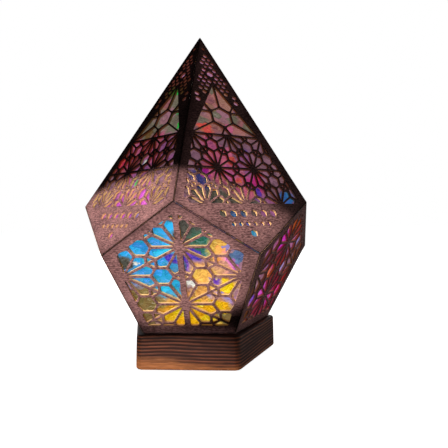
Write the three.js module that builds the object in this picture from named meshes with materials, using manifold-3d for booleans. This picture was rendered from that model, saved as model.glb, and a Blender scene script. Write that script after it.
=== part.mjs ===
// A wooden table lantern: a twelve-sided fretwork shade that runs up to one point, on a five-sided pine base.
//
// The shade is a regular dodecahedron whose upper five faces run on upwards until they meet at an apex. Its five
// lower panels are regular pentagons and its five upper panels are kites. All ten, and the floor, touch one
// sphere, so every mitred joint lies in a plane through that sphere's centre. Each panel is laser-cut plywood
// with an iridescent film glued behind its windows. The shade drops over a lamp and two dowels in the base, and
// lifts straight off. The base holds a rechargeable cell, a control board with a charging socket, and a push
// button, behind a screwed cover.
//
// Millimetres, +Z up, the front face towards -Y, and the origin under the middle of the base.
import * as THREE from 'three';
import { mergeVertices } from 'three/addons/utils/BufferGeometryUtils.js';
import Module from 'manifold-3d';

const wasm = await Module();
wasm.setup();

// ---- driving dimensions ----
const EDGE = 62; // edge of the shade's floor and of each lower panel
const PLY = 2; // thickness of the fretwork panels and the shade's floor
const GAP = 0.3; // clearance between pieces that touch
const FILM = 0.3; // thickness of the film
const PAD_H = 1; // felt pad under the base
const BASE_H = 22; // height of the pine block
const BASE_REVEAL = 4; // how far the block stands out past the shade's floor, all round
const SIDES = 5;
const STEP = (2 * Math.PI) / SIDES;
const ROUND = 28; // sides of a large round piece
const SMALL_ROUND = 10; // sides of a screw, a pin or a lead

// ---- the twelve-sided form ----
const PHI = (1 + Math.sqrt(5)) / 2;
const FACE_APOTHEM = EDGE / (2 * Math.tan(STEP / 2)); // middle of a face to the middle of its edge
const FACE_RADIUS = EDGE / (2 * Math.sin(STEP / 2)); // middle of a face to its corner
const WAIST_RADIUS = FACE_RADIUS * PHI; // the two rings of corners at the widest part
const LEAN = Math.atan(0.5); // each side face leans this far from upright
const INRADIUS = FACE_APOTHEM * PHI; // radius of the sphere that every face touches
const KITE_SIDE_X = (EDGE * PHI) / 2;
const KITE_SIDE_Y = EDGE * Math.sin(STEP / 2);
const KITE_H = Math.hypot(WAIST_RADIUS, (INRADIUS - FACE_RADIUS) + INRADIUS * Math.sqrt(5));
const BASE_TOP = PAD_H + BASE_H;
const SHADE_Z = BASE_TOP + 0.4; // underside of the shade's floor
const BASE_APOTHEM = FACE_APOTHEM + BASE_REVEAL;

// ---- base pockets and the lamp ----
const COVER_T = 3;
const COVER_APOTHEM = BASE_APOTHEM - 5;
const POCKET_R = 34;
const POCKET_TOP = PAD_H + 14;
const LAMP_SEAT_Z = BASE_TOP - 4; // floor of the round recess in the block's top
const LAMP_RECESS_R = 30;
const LEAD_WELL_R = 22; // hole between that recess and the pocket
const HOUSING_R = 29.6;
const HOUSING_TOP = BASE_TOP + 5;
const HOUSING_FLOOR = 2;
const HOUSING_WALL = 1.5;
const BOARD_R = 21.5;
const LEAD_HOLE_Y = 15; // where the lamp's leads come up through its housing and board
const SCREW_PITCH_R = 25;
const DOWEL_X = 37;
const DOWEL_R = 2;
const COVER_SCREW_R = 45;
const PAD_PITCH_R = 36.5;

// ---- the socket and the push button, on the face at the back left ----
const PORT_TURN = 3 * STEP; // turn of that face from the front
const PORT_Z = PAD_H + 10.5;
const BAY_DEPTH = BASE_APOTHEM - 5.6; // how far the pocket reaches out behind that face
const BAY_W = 40;
const SOCKET_X = -9;
const BUTTON_X = 10;
const BUTTON_R = 3.8;

// ---- fretwork ----
const RIM = 6; // plain wood round each panel's windows
const LOWER_PITCH = 41.5; // rosette to rosette, up the lower panel
const LOWER_WIDEN = 1.06; // the lower pattern is a little wider than the regular one
const LOWER_BAR = 0.75; // half the width of a bar
const LOWER_SPINE = 1.9; // half the width of the upright bar in the middle
const LOWER_ROSETTE_Y = 22.5; // height of the lowest rosette
const LOWER_LIMIT_X = 40;
const UPPER_PITCH = 28; // rosette to rosette, across the kite
const UPPER_STRETCH = 1.15; // the kite's pattern is taller than the regular one
const UPPER_BAR = 0.65;
const UPPER_FOOT_Y = 34.5; // height of the kite's lowest row of rosettes
const CREST_Y = UPPER_FOOT_Y + UPPER_PITCH * Math.sqrt(3) * UPPER_STRETCH; // bar under the large triangle
const CREST_PITCH = 2 * UPPER_PITCH - 1; // side of the large triangle
const LEAST_WINDOW = 18; // mm2; a window smaller than this is left out here

// ---- materials ----
const material = (color, roughness, metalness = 0) =>
  new THREE.MeshStandardMaterial({ color, roughness, metalness });
const WALNUT_PLY = material(0x5e3d31, 0.6);
const SCORCHED_PINE = material(0x5a3622, 0.7);
const BIRCH_PLY = material(0xb08a5c, 0.7);
const LOWER_FILM = material(0xe0a92c, 0.2);
const UPPER_FILM = material(0xb3476b, 0.2);
const FELT = material(0x2a2624, 0.95);
const ALUMINIUM = material(0xb8babd, 0.35, 1);
const STEEL = material(0x9a9c9e, 0.3, 1);
const BLACK_PLASTIC = material(0x17181a, 0.45);
const WHITE_BOARD = material(0xe6e6e0, 0.4);
const GREEN_BOARD = material(0x1e5233, 0.5);
const PHOSPHOR = material(0xf0cc44, 0.6);
const CLEAR = material(0xe8f0f2, 0.05);
const FOIL = material(0xa9adb2, 0.3, 0.8);
const RED_LEAD = material(0xb02020, 0.5);
const BLACK_LEAD = material(0x141414, 0.5);
const BEECH = material(0xc79d6a, 0.6);

// ---- solids ----

// A closed geometry as a manifold-3d solid.
function solid(geometry) {
  const plain = geometry.clone();
  plain.deleteAttribute('normal');
  plain.deleteAttribute('uv');
  const merged = mergeVertices(plain, 1e-4);
  return new wasm.Manifold(
    new wasm.Mesh({
      numProp: 3,
      vertProperties: merged.attributes.position.array,
      triVerts: new Uint32Array(merged.index.array),
    }),
  );
}

// A solid as a geometry.
function geometryOf(made) {
  const mesh = made.getMesh();
  const geometry = new THREE.BufferGeometry();
  geometry.setAttribute('position', new THREE.BufferAttribute(mesh.vertProperties, 3));
  geometry.setIndex(new THREE.BufferAttribute(mesh.triVerts, 1));
  return geometry;
}

function mesh(name, made, look) {
  const piece = new THREE.Mesh(made.isBufferGeometry ? made : geometryOf(made), look);
  piece.name = name;
  return piece;
}

// The first solid with each of the others cut away.
const cut = (body, ...tools) => tools.reduce((left, tool) => left.subtract(tool), body);

function join(first, ...more) {
  return more.reduce((sum, next) => sum.add(next), first);
}

// An outline of [x, y] points drawn up from z = low to z = high.
function prism(points, low, high) {
  const shape = new THREE.Shape(points.map(([x, y]) => new THREE.Vector2(x, y)));
  const geometry = new THREE.ExtrudeGeometry(shape, { depth: high - low, bevelEnabled: false });
  return solid(geometry.translate(0, 0, low));
}

// A round bar about a line through [x, y], from z = low to z = high.
function rod(radius, low, high, [x, y] = [0, 0], sides = ROUND) {
  const geometry = new THREE.CylinderGeometry(radius, radius, high - low, sides);
  return solid(geometry.rotateX(Math.PI / 2).translate(x, y, (low + high) / 2));
}

// A block between two opposite corners.
function block([x0, y0, z0], [x1, y1, z1]) {
  const geometry = new THREE.BoxGeometry(x1 - x0, y1 - y0, z1 - z0);
  return solid(geometry.translate((x0 + x1) / 2, (y0 + y1) / 2, (z0 + z1) / 2));
}

// A closed [radius, height] profile turned about +Z.
function turned(profile, sides = ROUND) {
  const points = [...profile, profile[0]].map(([r, z]) => new THREE.Vector2(r, z));
  return solid(new THREE.LatheGeometry(points, sides).rotateX(Math.PI / 2));
}

// A point at a distance from the middle, turned from the front face.
const around = (radius, turn) => [radius * Math.sin(turn), -radius * Math.cos(turn)];

// The five corner directions of a pentagon with a flat face at the front.
const cornerTurns = Array.from({ length: SIDES }, (_, k) => (k + 0.5) * STEP);

// ---- the window pattern ----
// Rosettes of twelve petals stand on a triangular lattice, with a hexagon between each three of them and a pair
// of small triangles between each two. Every window is a convex outline.

const add = ([ax, ay], [bx, by]) => [ax + bx, ay + by];
const turn = ([x, y], angle) => [
  x * Math.cos(angle) - y * Math.sin(angle),
  x * Math.sin(angle) + y * Math.cos(angle),
];

// Where the line through p along angle a meets the line through q along angle b.
function crossing([px, py], a, [qx, qy], b) {
  const along = ((qx - px) * Math.sin(b) - (qy - py) * Math.cos(b)) / Math.sin(b - a);
  return [px + along * Math.cos(a), py + along * Math.sin(a)];
}

// One petal, between the line to the next rosette (angle 0) and the line to the nearest hexagon (30 degrees).
function petal(pitch, bar) {
  const toHexagon = Math.PI / 6;
  const hexagon = [pitch / 2, pitch / 2 / Math.sqrt(3)];
  const hexagonR = 0.15 * pitch;
  const edgeDistance = (hexagonR * Math.sqrt(3)) / 2 + 2 * bar;
  const onEdge = add(hexagon, turn([edgeDistance, 0], (4 * Math.PI) / 3));
  const shoulder = [pitch / 2 - 0.05 * pitch - 2.4 * bar, bar];
  const upperLine = turn([0, -bar], toHexagon);
  return [
    crossing([0, bar], 0, upperLine, toHexagon),
    shoulder,
    crossing(shoulder, Math.PI / 3, onEdge, -Math.PI / 6),
    crossing(upperLine, toHexagon, onEdge, -Math.PI / 6),
  ];
}

// All the windows of a lattice that reaches a number of rosettes out from its origin.
function lattice(pitch, bar, reach) {
  const base = petal(pitch, bar);
  const hexagonR = 0.15 * pitch;
  const windows = [];
  for (let i = -reach; i <= reach; i++) {
    for (let j = -reach; j <= reach; j++) {
      const rosette = [pitch * (i + j / 2), (pitch * j * Math.sqrt(3)) / 2];
      for (let k = 0; k < 6; k++) {
        const angle = (k * Math.PI) / 3;
        windows.push(base.map((p) => add(rosette, turn(p, angle))));
        windows.push(base.map(([x, y]) => add(rosette, turn([x, -y], angle))).reverse());
      }
      for (const angle of [Math.PI / 6, Math.PI / 2]) {
        const middle = add(rosette, turn([pitch / Math.sqrt(3), 0], angle));
        const corners = [0, 1, 2, 3, 4, 5].map((k) => turn([hexagonR, 0], ((k + 0.5) * Math.PI) / 3));
        windows.push(corners.map((corner) => add(middle, corner)));
      }
    }
  }
  return windows;
}

const area = (points) =>
  points.reduce((sum, [x, y], k) => {
    const [nx, ny] = points[(k + 1) % points.length];
    return sum + (x * ny - nx * y) / 2;
  }, 0);

// The part of a convex outline on the left of the line from a to b.
function leftOf(points, [ax, ay], [bx, by]) {
  const side = ([x, y]) => (bx - ax) * (y - ay) - (by - ay) * (x - ax);
  const kept = [];
  points.forEach((p, k) => {
    const q = points[(k + 1) % points.length];
    const sp = side(p);
    const sq = side(q);
    if (sp >= 0) kept.push(p);
    if (sp * sq < 0) {
      const share = sp / (sp - sq);
      kept.push([p[0] + share * (q[0] - p[0]), p[1] + share * (q[1] - p[1])]);
    }
  });
  return kept;
}

// The part of a convex outline inside a convex border, both running anticlockwise.
const inside = (points, border) =>
  border.reduce((left, corner, k) => leftOf(left, corner, border[(k + 1) % border.length]), points);

const worthCutting = (points) => points.length > 2 && area(points) > LEAST_WINDOW;

// An outline drawn in towards a point that is one apothem from every edge.
function drawnIn(outline, [cx, cy], distance) {
  const share = 1 - distance / FACE_APOTHEM;
  return outline.map(([x, y]) => [cx + (x - cx) * share, cy + (y - cy) * share]);
}

// ---- panels, each in its own frame: x across, y up the panel, z out of its outer face ----

const LOWER_OUTLINE = [
  [-EDGE / 2, 0],
  [EDGE / 2, 0],
  [KITE_SIDE_X, EDGE * Math.cos(Math.PI / 10)],
  [0, FACE_APOTHEM + FACE_RADIUS],
  [-KITE_SIDE_X, EDGE * Math.cos(Math.PI / 10)],
];
const LOWER_MIDDLE = [0, FACE_APOTHEM];
const UPPER_OUTLINE = [
  [0, 0],
  [KITE_SIDE_X, KITE_SIDE_Y],
  [0, KITE_H],
  [-KITE_SIDE_X, KITE_SIDE_Y],
];
const UPPER_MIDDLE = [0, FACE_RADIUS];

// A plate under an outline, its edges mitred towards the sphere's centre.
function mitredPlate(outline, [cx, cy], top, thickness) {
  const plate = new THREE.ExtrudeGeometry(
    new THREE.Shape(outline.map(([x, y]) => new THREE.Vector2(x, y))),
    { depth: thickness, bevelEnabled: false },
  ).translate(0, 0, top - thickness);
  const at = plate.attributes.position;
  for (let k = 0; k < at.count; k++) {
    const share = (INRADIUS + at.getZ(k)) / INRADIUS;
    at.setXY(k, cx + (at.getX(k) - cx) * share, cy + (at.getY(k) - cy) * share);
  }
  return solid(plate);
}

function lowerWindows() {
  const limits = [
    [-LOWER_LIMIT_X, -1],
    [LOWER_LIMIT_X, -1],
    [LOWER_LIMIT_X, KITE_H],
    [-LOWER_LIMIT_X, KITE_H],
  ];
  const border = drawnIn(LOWER_OUTLINE, LOWER_MIDDLE, RIM);
  return lattice(LOWER_PITCH, LOWER_BAR, 2)
    .map((window) => window.map((p) => turn(p, Math.PI / 2)))
    .map((window) => window.map(([x, y]) => [x * LOWER_WIDEN, y + LOWER_ROSETTE_Y]))
    .map((window) => inside(inside(window, border), limits))
    .flatMap((window) => [
      leftOf(window, [LOWER_SPINE, 1], [LOWER_SPINE, 0]),
      leftOf(window, [-LOWER_SPINE, 0], [-LOWER_SPINE, 1]),
    ])
    .filter(worthCutting);
}

function upperWindows() {
  const border = drawnIn(UPPER_OUTLINE, UPPER_MIDDLE, RIM);
  const bandFoot = UPPER_FOOT_Y + UPPER_BAR;
  const bandTop = CREST_Y - UPPER_BAR;
  const band = lattice(UPPER_PITCH, UPPER_BAR, 4)
    .map((window) => window.map(([x, y]) => [x, y * UPPER_STRETCH + UPPER_FOOT_Y]))
    .map((window) => inside(window, border))
    .map((window) => leftOf(leftOf(window, [-1, bandFoot], [1, bandFoot]), [1, bandTop], [-1, bandTop]));
  const crestTop = CREST_Y + (CREST_PITCH * Math.sqrt(3)) / 2;
  const triangle = [
    [-CREST_PITCH / 2, CREST_Y],
    [CREST_PITCH / 2, CREST_Y],
    [0, crestTop],
  ];
  const crest = lattice(CREST_PITCH, UPPER_BAR, 1)
    .map((window) => window.map(([x, y]) => [x - CREST_PITCH / 2, y + CREST_Y]))
    .map((window) => inside(window, triangle));
  const row = [-2.5, -1.5, -0.5, 0.5, 1.5, 2.5].map((k) => hexagonAt([7.5 * k, 28], 2.7));
  return [...band, ...crest, ...row, hexagonAt([0, 14], 2.6)].filter(worthCutting);
}

function hexagonAt(middle, radius) {
  return [0, 1, 2, 3, 4, 5].map((k) => add(middle, turn([radius, 0], ((k + 0.5) * Math.PI) / 3)));
}

function panel(outline, middle, windows) {
  const plate = mitredPlate(drawnIn(outline, middle, GAP / 2), middle, 0, PLY);
  return cut(plate, ...windows.map((window) => prism(window, -PLY - 1, 1)));
}

function film(outline, middle) {
  const top = -PLY - GAP;
  return prism(drawnIn(outline, middle, RIM - 2), top - FILM, top);
}

// Places a panel's frame: its turn about +Z, its origin's distance and height, and its lean.
function place(piece, turnFromFront, distance, height, lean) {
  const frame = new THREE.Group();
  frame.rotation.z = turnFromFront;
  piece.position.set(0, -distance, height);
  piece.rotation.x = Math.PI / 2 + lean;
  frame.add(piece);
  return frame;
}

function buildShade() {
  const shade = new THREE.Group();
  const lower = panel(LOWER_OUTLINE, LOWER_MIDDLE, lowerWindows());
  const lowerFilm = film(LOWER_OUTLINE, LOWER_MIDDLE);
  const upper = panel(UPPER_OUTLINE, UPPER_MIDDLE, upperWindows());
  const upperFilm = film(UPPER_OUTLINE, UPPER_MIDDLE);
  for (let k = 0; k < SIDES; k++) {
    const setLower = (piece) => place(piece, k * STEP, FACE_APOTHEM, SHADE_Z, LEAN);
    const setUpper = (piece) =>
      place(piece, (k + 0.5) * STEP, WAIST_RADIUS, SHADE_Z + FACE_RADIUS, -LEAN);
    shade.add(
      setLower(mesh(`lower_panel_${k + 1}`, lower, WALNUT_PLY)),
      setLower(mesh(`lower_film_${k + 1}`, lowerFilm, LOWER_FILM)),
      setUpper(mesh(`upper_panel_${k + 1}`, upper, WALNUT_PLY)),
      setUpper(mesh(`upper_film_${k + 1}`, upperFilm, UPPER_FILM)),
    );
  }
  shade.add(buildFloor());
  return shade;
}

// The pentagon that the lower panels are glued round, with holes for the lamp and the dowels.
function buildFloor() {
  const outline = cornerTurns.map((t) => around(FACE_RADIUS - GAP / 2, t));
  const plate = solid(geometryOf(mitredPlate(outline, [0, 0], 0, PLY)).rotateY(Math.PI));
  const holes = [-1, 1].map((side) => rod(DOWEL_R + 0.4, -1, PLY + 1, [side * DOWEL_X, 0], SMALL_ROUND));
  const floor = mesh('shade_floor', cut(plate, rod(HOUSING_R + 0.7, -1, PLY + 1), ...holes), WALNUT_PLY);
  floor.position.z = SHADE_Z;
  return floor;
}

// ---- base ----

// A pentagon with its corners rounded, as a shape.
function roundedPentagon(apothem, cornerR) {
  const shape = new THREE.Shape();
  const cornerDistance = (apothem - cornerR) / Math.cos(STEP / 2);
  cornerTurns.forEach((t) => {
    const [x, y] = around(cornerDistance, t);
    const facing = t - Math.PI / 2;
    shape.absarc(x, y, cornerR, facing - STEP / 2, facing + STEP / 2, false);
  });
  return shape;
}

// A round hole or bar that points out of the face with the socket and the button.
function portRod(radius, from, to, x, sides = SMALL_ROUND) {
  const geometry = new THREE.CylinderGeometry(radius, radius, to - from, sides);
  return solid(geometry.translate(x, -(from + to) / 2, PORT_Z));
}

// A solid made behind the front face, as a geometry turned to the face with the socket and the button.
const turnedToPort = (made) => geometryOf(made).rotateZ(PORT_TURN);

function buildBlock() {
  const rounding = 2;
  const outer = new THREE.ExtrudeGeometry(roundedPentagon(BASE_APOTHEM - rounding, 3), {
    depth: BASE_H - 2 * rounding,
    bevelThickness: rounding,
    bevelSize: rounding,
    bevelSegments: 2,
    curveSegments: 2,
  }).translate(0, 0, PAD_H + rounding);
  const coverSeat = new THREE.ExtrudeGeometry(roundedPentagon(COVER_APOTHEM + GAP, 4), {
    depth: COVER_T + 1,
    bevelEnabled: false,
    curveSegments: 2,
  }).translate(0, 0, PAD_H - 1 + GAP);
  const bay = block([-BAY_W / 2, -BAY_DEPTH, PAD_H + COVER_T], [BAY_W / 2, -20, POCKET_TOP]);
  const socketSlot = block([SOCKET_X - 6.5, -60, PORT_Z - 3], [SOCKET_X + 6.5, -20, PORT_Z + 3.4]);
  const screwHoles = cornerTurns.map((t) =>
    rod(1.6, 0, PAD_H + 12, around(COVER_SCREW_R, t), SMALL_ROUND),
  );
  const lampScrewHoles = lampScrewPlaces().map((at) =>
    rod(1.5, POCKET_TOP + 0.6, BASE_TOP + 1, at, SMALL_ROUND),
  );
  const dowelHoles = [-1, 1].map((side) =>
    rod(DOWEL_R + GAP, BASE_TOP - 7, BASE_TOP + 1, [side * DOWEL_X, 0], SMALL_ROUND),
  );
  return mesh(
    'base_block',
    cut(
      solid(outer),
      solid(coverSeat),
      rod(POCKET_R, 0, POCKET_TOP),
      rod(LEAD_WELL_R, 0, BASE_TOP + 1),
      rod(LAMP_RECESS_R, LAMP_SEAT_Z, BASE_TOP + 1),
      solid(turnedToPort(join(bay, socketSlot, portRod(BUTTON_R + 1.4, 20, 60, BUTTON_X)))),
      ...screwHoles,
      ...lampScrewHoles,
      ...dowelHoles,
    ),
    SCORCHED_PINE,
  );
}

function buildCover() {
  const plate = new THREE.ExtrudeGeometry(roundedPentagon(COVER_APOTHEM, 4), {
    depth: COVER_T,
    bevelEnabled: false,
    curveSegments: 2,
  }).translate(0, 0, PAD_H);
  const holes = cornerTurns.flatMap((t) => [
    rod(1.6, 0, PAD_H + COVER_T + 1, around(COVER_SCREW_R, t), SMALL_ROUND),
    rod(2.9, 0, PAD_H + 1.6, around(COVER_SCREW_R, t), SMALL_ROUND),
  ]);
  return mesh('base_cover', cut(solid(plate), ...holes), BIRCH_PLY);
}

// A screw with a crossed recess, its head's face at z = 0 and its shank along +Z.
function screw(headR, headH, shankR, length) {
  const slot = [
    block([-headR * 0.6, -0.3, -1], [headR * 0.6, 0.3, headH * 0.5]),
    block([-0.3, -headR * 0.6, -1], [0.3, headR * 0.6, headH * 0.5]),
  ];
  const body = turned(
    [
      [0, 0],
      [headR, 0],
      [headR, headH],
      [shankR, headH],
      [shankR, length - shankR],
      [0, length],
    ],
    SMALL_ROUND,
  );
  return cut(body, ...slot);
}

function buildCoverFixings() {
  const screws = cornerTurns.map((t, k) => {
    const piece = mesh(`cover_screw_${k + 1}`, screw(2.5, 1, 1.25, 11), STEEL);
    piece.position.set(...around(COVER_SCREW_R, t), PAD_H + 0.3);
    return piece;
  });
  const pads = cornerTurns.map((t, k) =>
    mesh(`foot_pad_${k + 1}`, rod(5, 0, PAD_H - GAP, around(PAD_PITCH_R, t), 20), FELT),
  );
  return [...screws, ...pads];
}

// Beech pins that line the shade up with the base.
function buildDowels() {
  const low = BASE_TOP - 6.7;
  const high = SHADE_Z + PLY + 0.6;
  const profile = [
    [0, low],
    [DOWEL_R, low],
    [DOWEL_R, high - 0.8],
    [DOWEL_R - 0.8, high],
    [0, high],
  ];
  return [-1, 1].map((side, k) => {
    const pin = geometryOf(turned(profile, SMALL_ROUND)).translate(side * DOWEL_X, 0, 0);
    return mesh(`locating_dowel_${k + 1}`, pin, BEECH);
  });
}

// ---- lamp ----

const HOUSING_LOW = LAMP_SEAT_Z + GAP;
const HOUSING_INSIDE = HOUSING_LOW + HOUSING_FLOOR;
const BOARD_TOP = HOUSING_INSIDE + GAP + 1.6;

const lampScrewPlaces = () => [0, 1, 2].map((k) => around(SCREW_PITCH_R, (k * 2 * Math.PI) / 3));

function buildLamp() {
  const cup = turned([
    [0, HOUSING_LOW],
    [HOUSING_R, HOUSING_LOW],
    [HOUSING_R, HOUSING_TOP],
    [HOUSING_R - HOUSING_WALL, HOUSING_TOP],
    [HOUSING_R - HOUSING_WALL, HOUSING_INSIDE],
    [0, HOUSING_INSIDE],
  ]);
  const leadHole = rod(3, 0, HOUSING_TOP, [0, LEAD_HOLE_Y], SMALL_ROUND);
  const screwHoles = lampScrewPlaces().map((at) => rod(1.5, 0, HOUSING_TOP, at, SMALL_ROUND));
  const screws = lampScrewPlaces().map((at, k) => {
    const piece = mesh(`housing_screw_${k + 1}`, screw(2.3, 1.2, 1.2, 6.8), STEEL);
    piece.rotation.x = Math.PI;
    piece.position.set(...at, HOUSING_INSIDE + GAP + 1.2);
    return piece;
  });
  const board = cut(rod(BOARD_R, HOUSING_INSIDE + GAP, BOARD_TOP), leadHole);
  const emitterTop = BOARD_TOP + GAP + 0.9;
  const lens = turned([
    [0, emitterTop + 1],
    [7, emitterTop + 0.6],
    [8, BOARD_TOP + GAP],
    [13.5, BOARD_TOP + GAP],
    [13.5, emitterTop],
    [11.8, emitterTop],
    [10.6, emitterTop + 3.4],
    [7.4, emitterTop + 6],
    [3.6, emitterTop + 7.2],
    [0, emitterTop + 7.6],
  ]);
  const ringLow = emitterTop + GAP;
  const ring = turned([
    [12.2, ringLow],
    [HOUSING_R - HOUSING_WALL - GAP, ringLow],
    [HOUSING_R - HOUSING_WALL - GAP, ringLow + 1.5],
    [13, ringLow + 1.5],
  ]);
  return [
    mesh('lamp_housing', cut(cup, leadHole, ...screwHoles), ALUMINIUM),
    ...screws,
    mesh('led_board', board, WHITE_BOARD),
    mesh('led_emitter', rod(6, BOARD_TOP + GAP, emitterTop, [0, 0], 24), PHOSPHOR),
    mesh('lamp_lens', lens, CLEAR),
    mesh('lens_ring', ring, BLACK_PLASTIC),
  ];
}

// ---- power and control ----

const BOARD_LOW = PORT_Z - 3.4; // underside of the control board
const BOARD_HIGH = BOARD_LOW + 1.6;

function buildPower() {
  const cellLow = PAD_H + COVER_T + 0.4;
  const cellShape = new THREE.Shape();
  cellShape.moveTo(-21, -15).lineTo(21, -15).lineTo(21, 15).lineTo(-21, 15);
  const cell = new THREE.ExtrudeGeometry(cellShape, {
    depth: 5.6,
    bevelThickness: 1.2,
    bevelSize: 1.2,
    bevelSegments: 1,
  }).translate(0, -8, cellLow + 1.2);
  const outer = BAY_DEPTH - 1;
  const board = block([-18, -outer, BOARD_LOW], [18, -outer + 12, BOARD_HIGH]);
  const boardHoles = [-1, 1].map((side) => rod(1.3, 0, 20, [side * 15.6, -outer + 9.4], SMALL_ROUND));
  const chip = block([-3, -outer + 4, BOARD_HIGH - 0.2], [1.5, -outer + 8.5, BOARD_HIGH + 1]);
  // room for the button cap's flange to move in
  const flangeNotch = block(
    [BUTTON_X - BUTTON_R - 1.6, -outer - 1, BOARD_LOW - 1],
    [BUTTON_X + BUTTON_R + 1.6, -outer + 1.9, BOARD_HIGH + 1],
  );
  const screws = [-1, 1].map((side, k) => {
    const made = geometryOf(screw(2, 1, 1, 4)).rotateX(Math.PI);
    const at = [side * 15.6, -outer + 9.4, BOARD_HIGH + 1 + GAP];
    return mesh(`board_screw_${k + 1}`, made.translate(...at).rotateZ(PORT_TURN), STEEL);
  });
  const shell = cut(
    block(
      [SOCKET_X - 4.5, -BAY_DEPTH - 0.6, PORT_Z - 1.5],
      [SOCKET_X + 4.5, -BAY_DEPTH + 6.6, PORT_Z + 1.7],
    ),
    block(
      [SOCKET_X - 4.2, -BAY_DEPTH - 2, PORT_Z - 1.2],
      [SOCKET_X + 4.2, -BAY_DEPTH + 6, PORT_Z + 1.4],
    ),
  );
  const tongue = block(
    [SOCKET_X - 3.3, -BAY_DEPTH - 0.2, PORT_Z - 0.25],
    [SOCKET_X + 3.3, -BAY_DEPTH + 5.7, PORT_Z + 0.45],
  );
  return [
    mesh('battery_cell', cell.rotateZ(PORT_TURN), FOIL),
    mesh('control_board', turnedToPort(cut(join(board, chip), flangeNotch, ...boardHoles)), GREEN_BOARD),
    ...screws,
    mesh('charging_socket', turnedToPort(shell), STEEL),
    mesh('socket_tongue', turnedToPort(tongue), BLACK_PLASTIC),
  ];
}

// The push button: a cap in a bezel, and the small switch behind it with its plunger.
function buildButton() {
  const face = BASE_APOTHEM;
  const bezel = cut(
    join(
      portRod(BUTTON_R + 1.1, BAY_DEPTH + 0.4, face + GAP + 0.5, BUTTON_X, 24),
      portRod(BUTTON_R + 2.4, face + GAP, face + GAP + 1, BUTTON_X, 24),
    ),
    portRod(BUTTON_R + 0.35, 20, 60, BUTTON_X, 24),
  );
  const cap = join(
    portRod(BUTTON_R, BAY_DEPTH - 1, face + 1.8, BUTTON_X, 24),
    portRod(BUTTON_R + 0.9, BAY_DEPTH - 1, BAY_DEPTH, BUTTON_X, 24),
  );
  const switchLow = BAY_DEPTH - 7.4;
  const switchHigh = BAY_DEPTH - 3.4;
  const body = cut(
    block([BUTTON_X - 3, -switchHigh, BOARD_HIGH + GAP], [BUTTON_X + 3, -switchLow, PORT_Z + 3]),
    portRod(2.1, switchLow + 0.8, 60, BUTTON_X),
  );
  const plunger = portRod(1.7, switchLow + 2.2, BAY_DEPTH - 1 - GAP, BUTTON_X);
  return [
    mesh('button_bezel', turnedToPort(bezel), BLACK_PLASTIC),
    mesh('button_cap', turnedToPort(cap), BLACK_PLASTIC),
    mesh('switch_body', turnedToPort(body), BLACK_PLASTIC),
    mesh('switch_plunger', turnedToPort(plunger), WHITE_BOARD),
  ];
}

// A round lead along a smooth curve through points.
function lead(name, look, points) {
  const path = new THREE.CatmullRomCurve3(points.map((p) => new THREE.Vector3(...p)));
  const radius = 0.6;
  const section = new THREE.Shape();
  section.absarc(0, 0, radius, 0, 2 * Math.PI, false); // eight sides
  return mesh(
    name,
    new THREE.ExtrudeGeometry(section, { steps: 12, curveSegments: 2, extrudePath: path }),
    look,
  );
}

// Leads from the control board to the cell and up to the lamp, one of each colour.
function buildLeads() {
  const onBoard = (sideways, inwards, z) => [...turn([sideways, inwards - BAY_DEPTH], PORT_TURN), z];
  const lampLead = (side) => [
    onBoard(-2 * side, 11, BOARD_HIGH + 1),
    onBoard(-2 * side, 12.5, BOARD_HIGH + 3),
    [side * 1.5 - 4, LEAD_HOLE_Y + 3, POCKET_TOP - 1],
    [side * 1.2, LEAD_HOLE_Y, POCKET_TOP + 1.5],
    [side * 1.2, LEAD_HOLE_Y, BOARD_TOP + 0.2],
  ];
  const cellLead = (sideways) => [
    onBoard(sideways, 10.5, BOARD_HIGH + 1),
    onBoard(sideways, 12, BOARD_HIGH + 2),
    onBoard(sideways, 14.6, BOARD_HIGH + 0.6),
    onBoard(sideways, 15.9, BOARD_HIGH - 1.6),
  ];
  return [
    lead('lamp_lead_red', RED_LEAD, lampLead(1)),
    lead('lamp_lead_black', BLACK_LEAD, lampLead(-1)),
    lead('cell_lead_red', RED_LEAD, cellLead(9)),
    lead('cell_lead_black', BLACK_LEAD, cellLead(6)),
  ];
}

// ---- the whole lantern ----
const lantern = new THREE.Group();
lantern.add(
  buildShade(),
  buildBlock(),
  buildCover(),
  ...buildCoverFixings(),
  ...buildDowels(),
  ...buildLamp(),
  ...buildPower(),
  ...buildButton(),
  ...buildLeads(),
);

export default lantern;
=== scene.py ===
"""A wooden table lantern: a fretwork shade with film behind its windows, on a pine base with a lamp."""

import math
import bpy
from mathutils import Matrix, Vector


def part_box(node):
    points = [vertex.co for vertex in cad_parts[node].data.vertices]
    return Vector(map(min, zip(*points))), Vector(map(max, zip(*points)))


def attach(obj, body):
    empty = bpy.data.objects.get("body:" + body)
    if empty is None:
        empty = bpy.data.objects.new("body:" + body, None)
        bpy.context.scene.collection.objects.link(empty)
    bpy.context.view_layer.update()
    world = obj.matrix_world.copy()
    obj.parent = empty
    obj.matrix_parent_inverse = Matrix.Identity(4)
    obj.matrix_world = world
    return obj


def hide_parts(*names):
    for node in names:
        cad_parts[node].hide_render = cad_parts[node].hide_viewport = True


bl_info = {
    "name": "Fretwork Table Lantern",
    "version": (1, 0, 0),
    "blender": (4, 5, 0),
    "location": "3D View > Sidebar > Lantern",
    "description": "Builds a twelve-sided fretwork lantern with coloured windows on a five-sided pine base",
    "category": "Add Mesh",
}

import bmesh
import bpy
from bpy.props import FloatProperty, FloatVectorProperty, PointerProperty
from mathutils import Matrix, Vector

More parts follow.
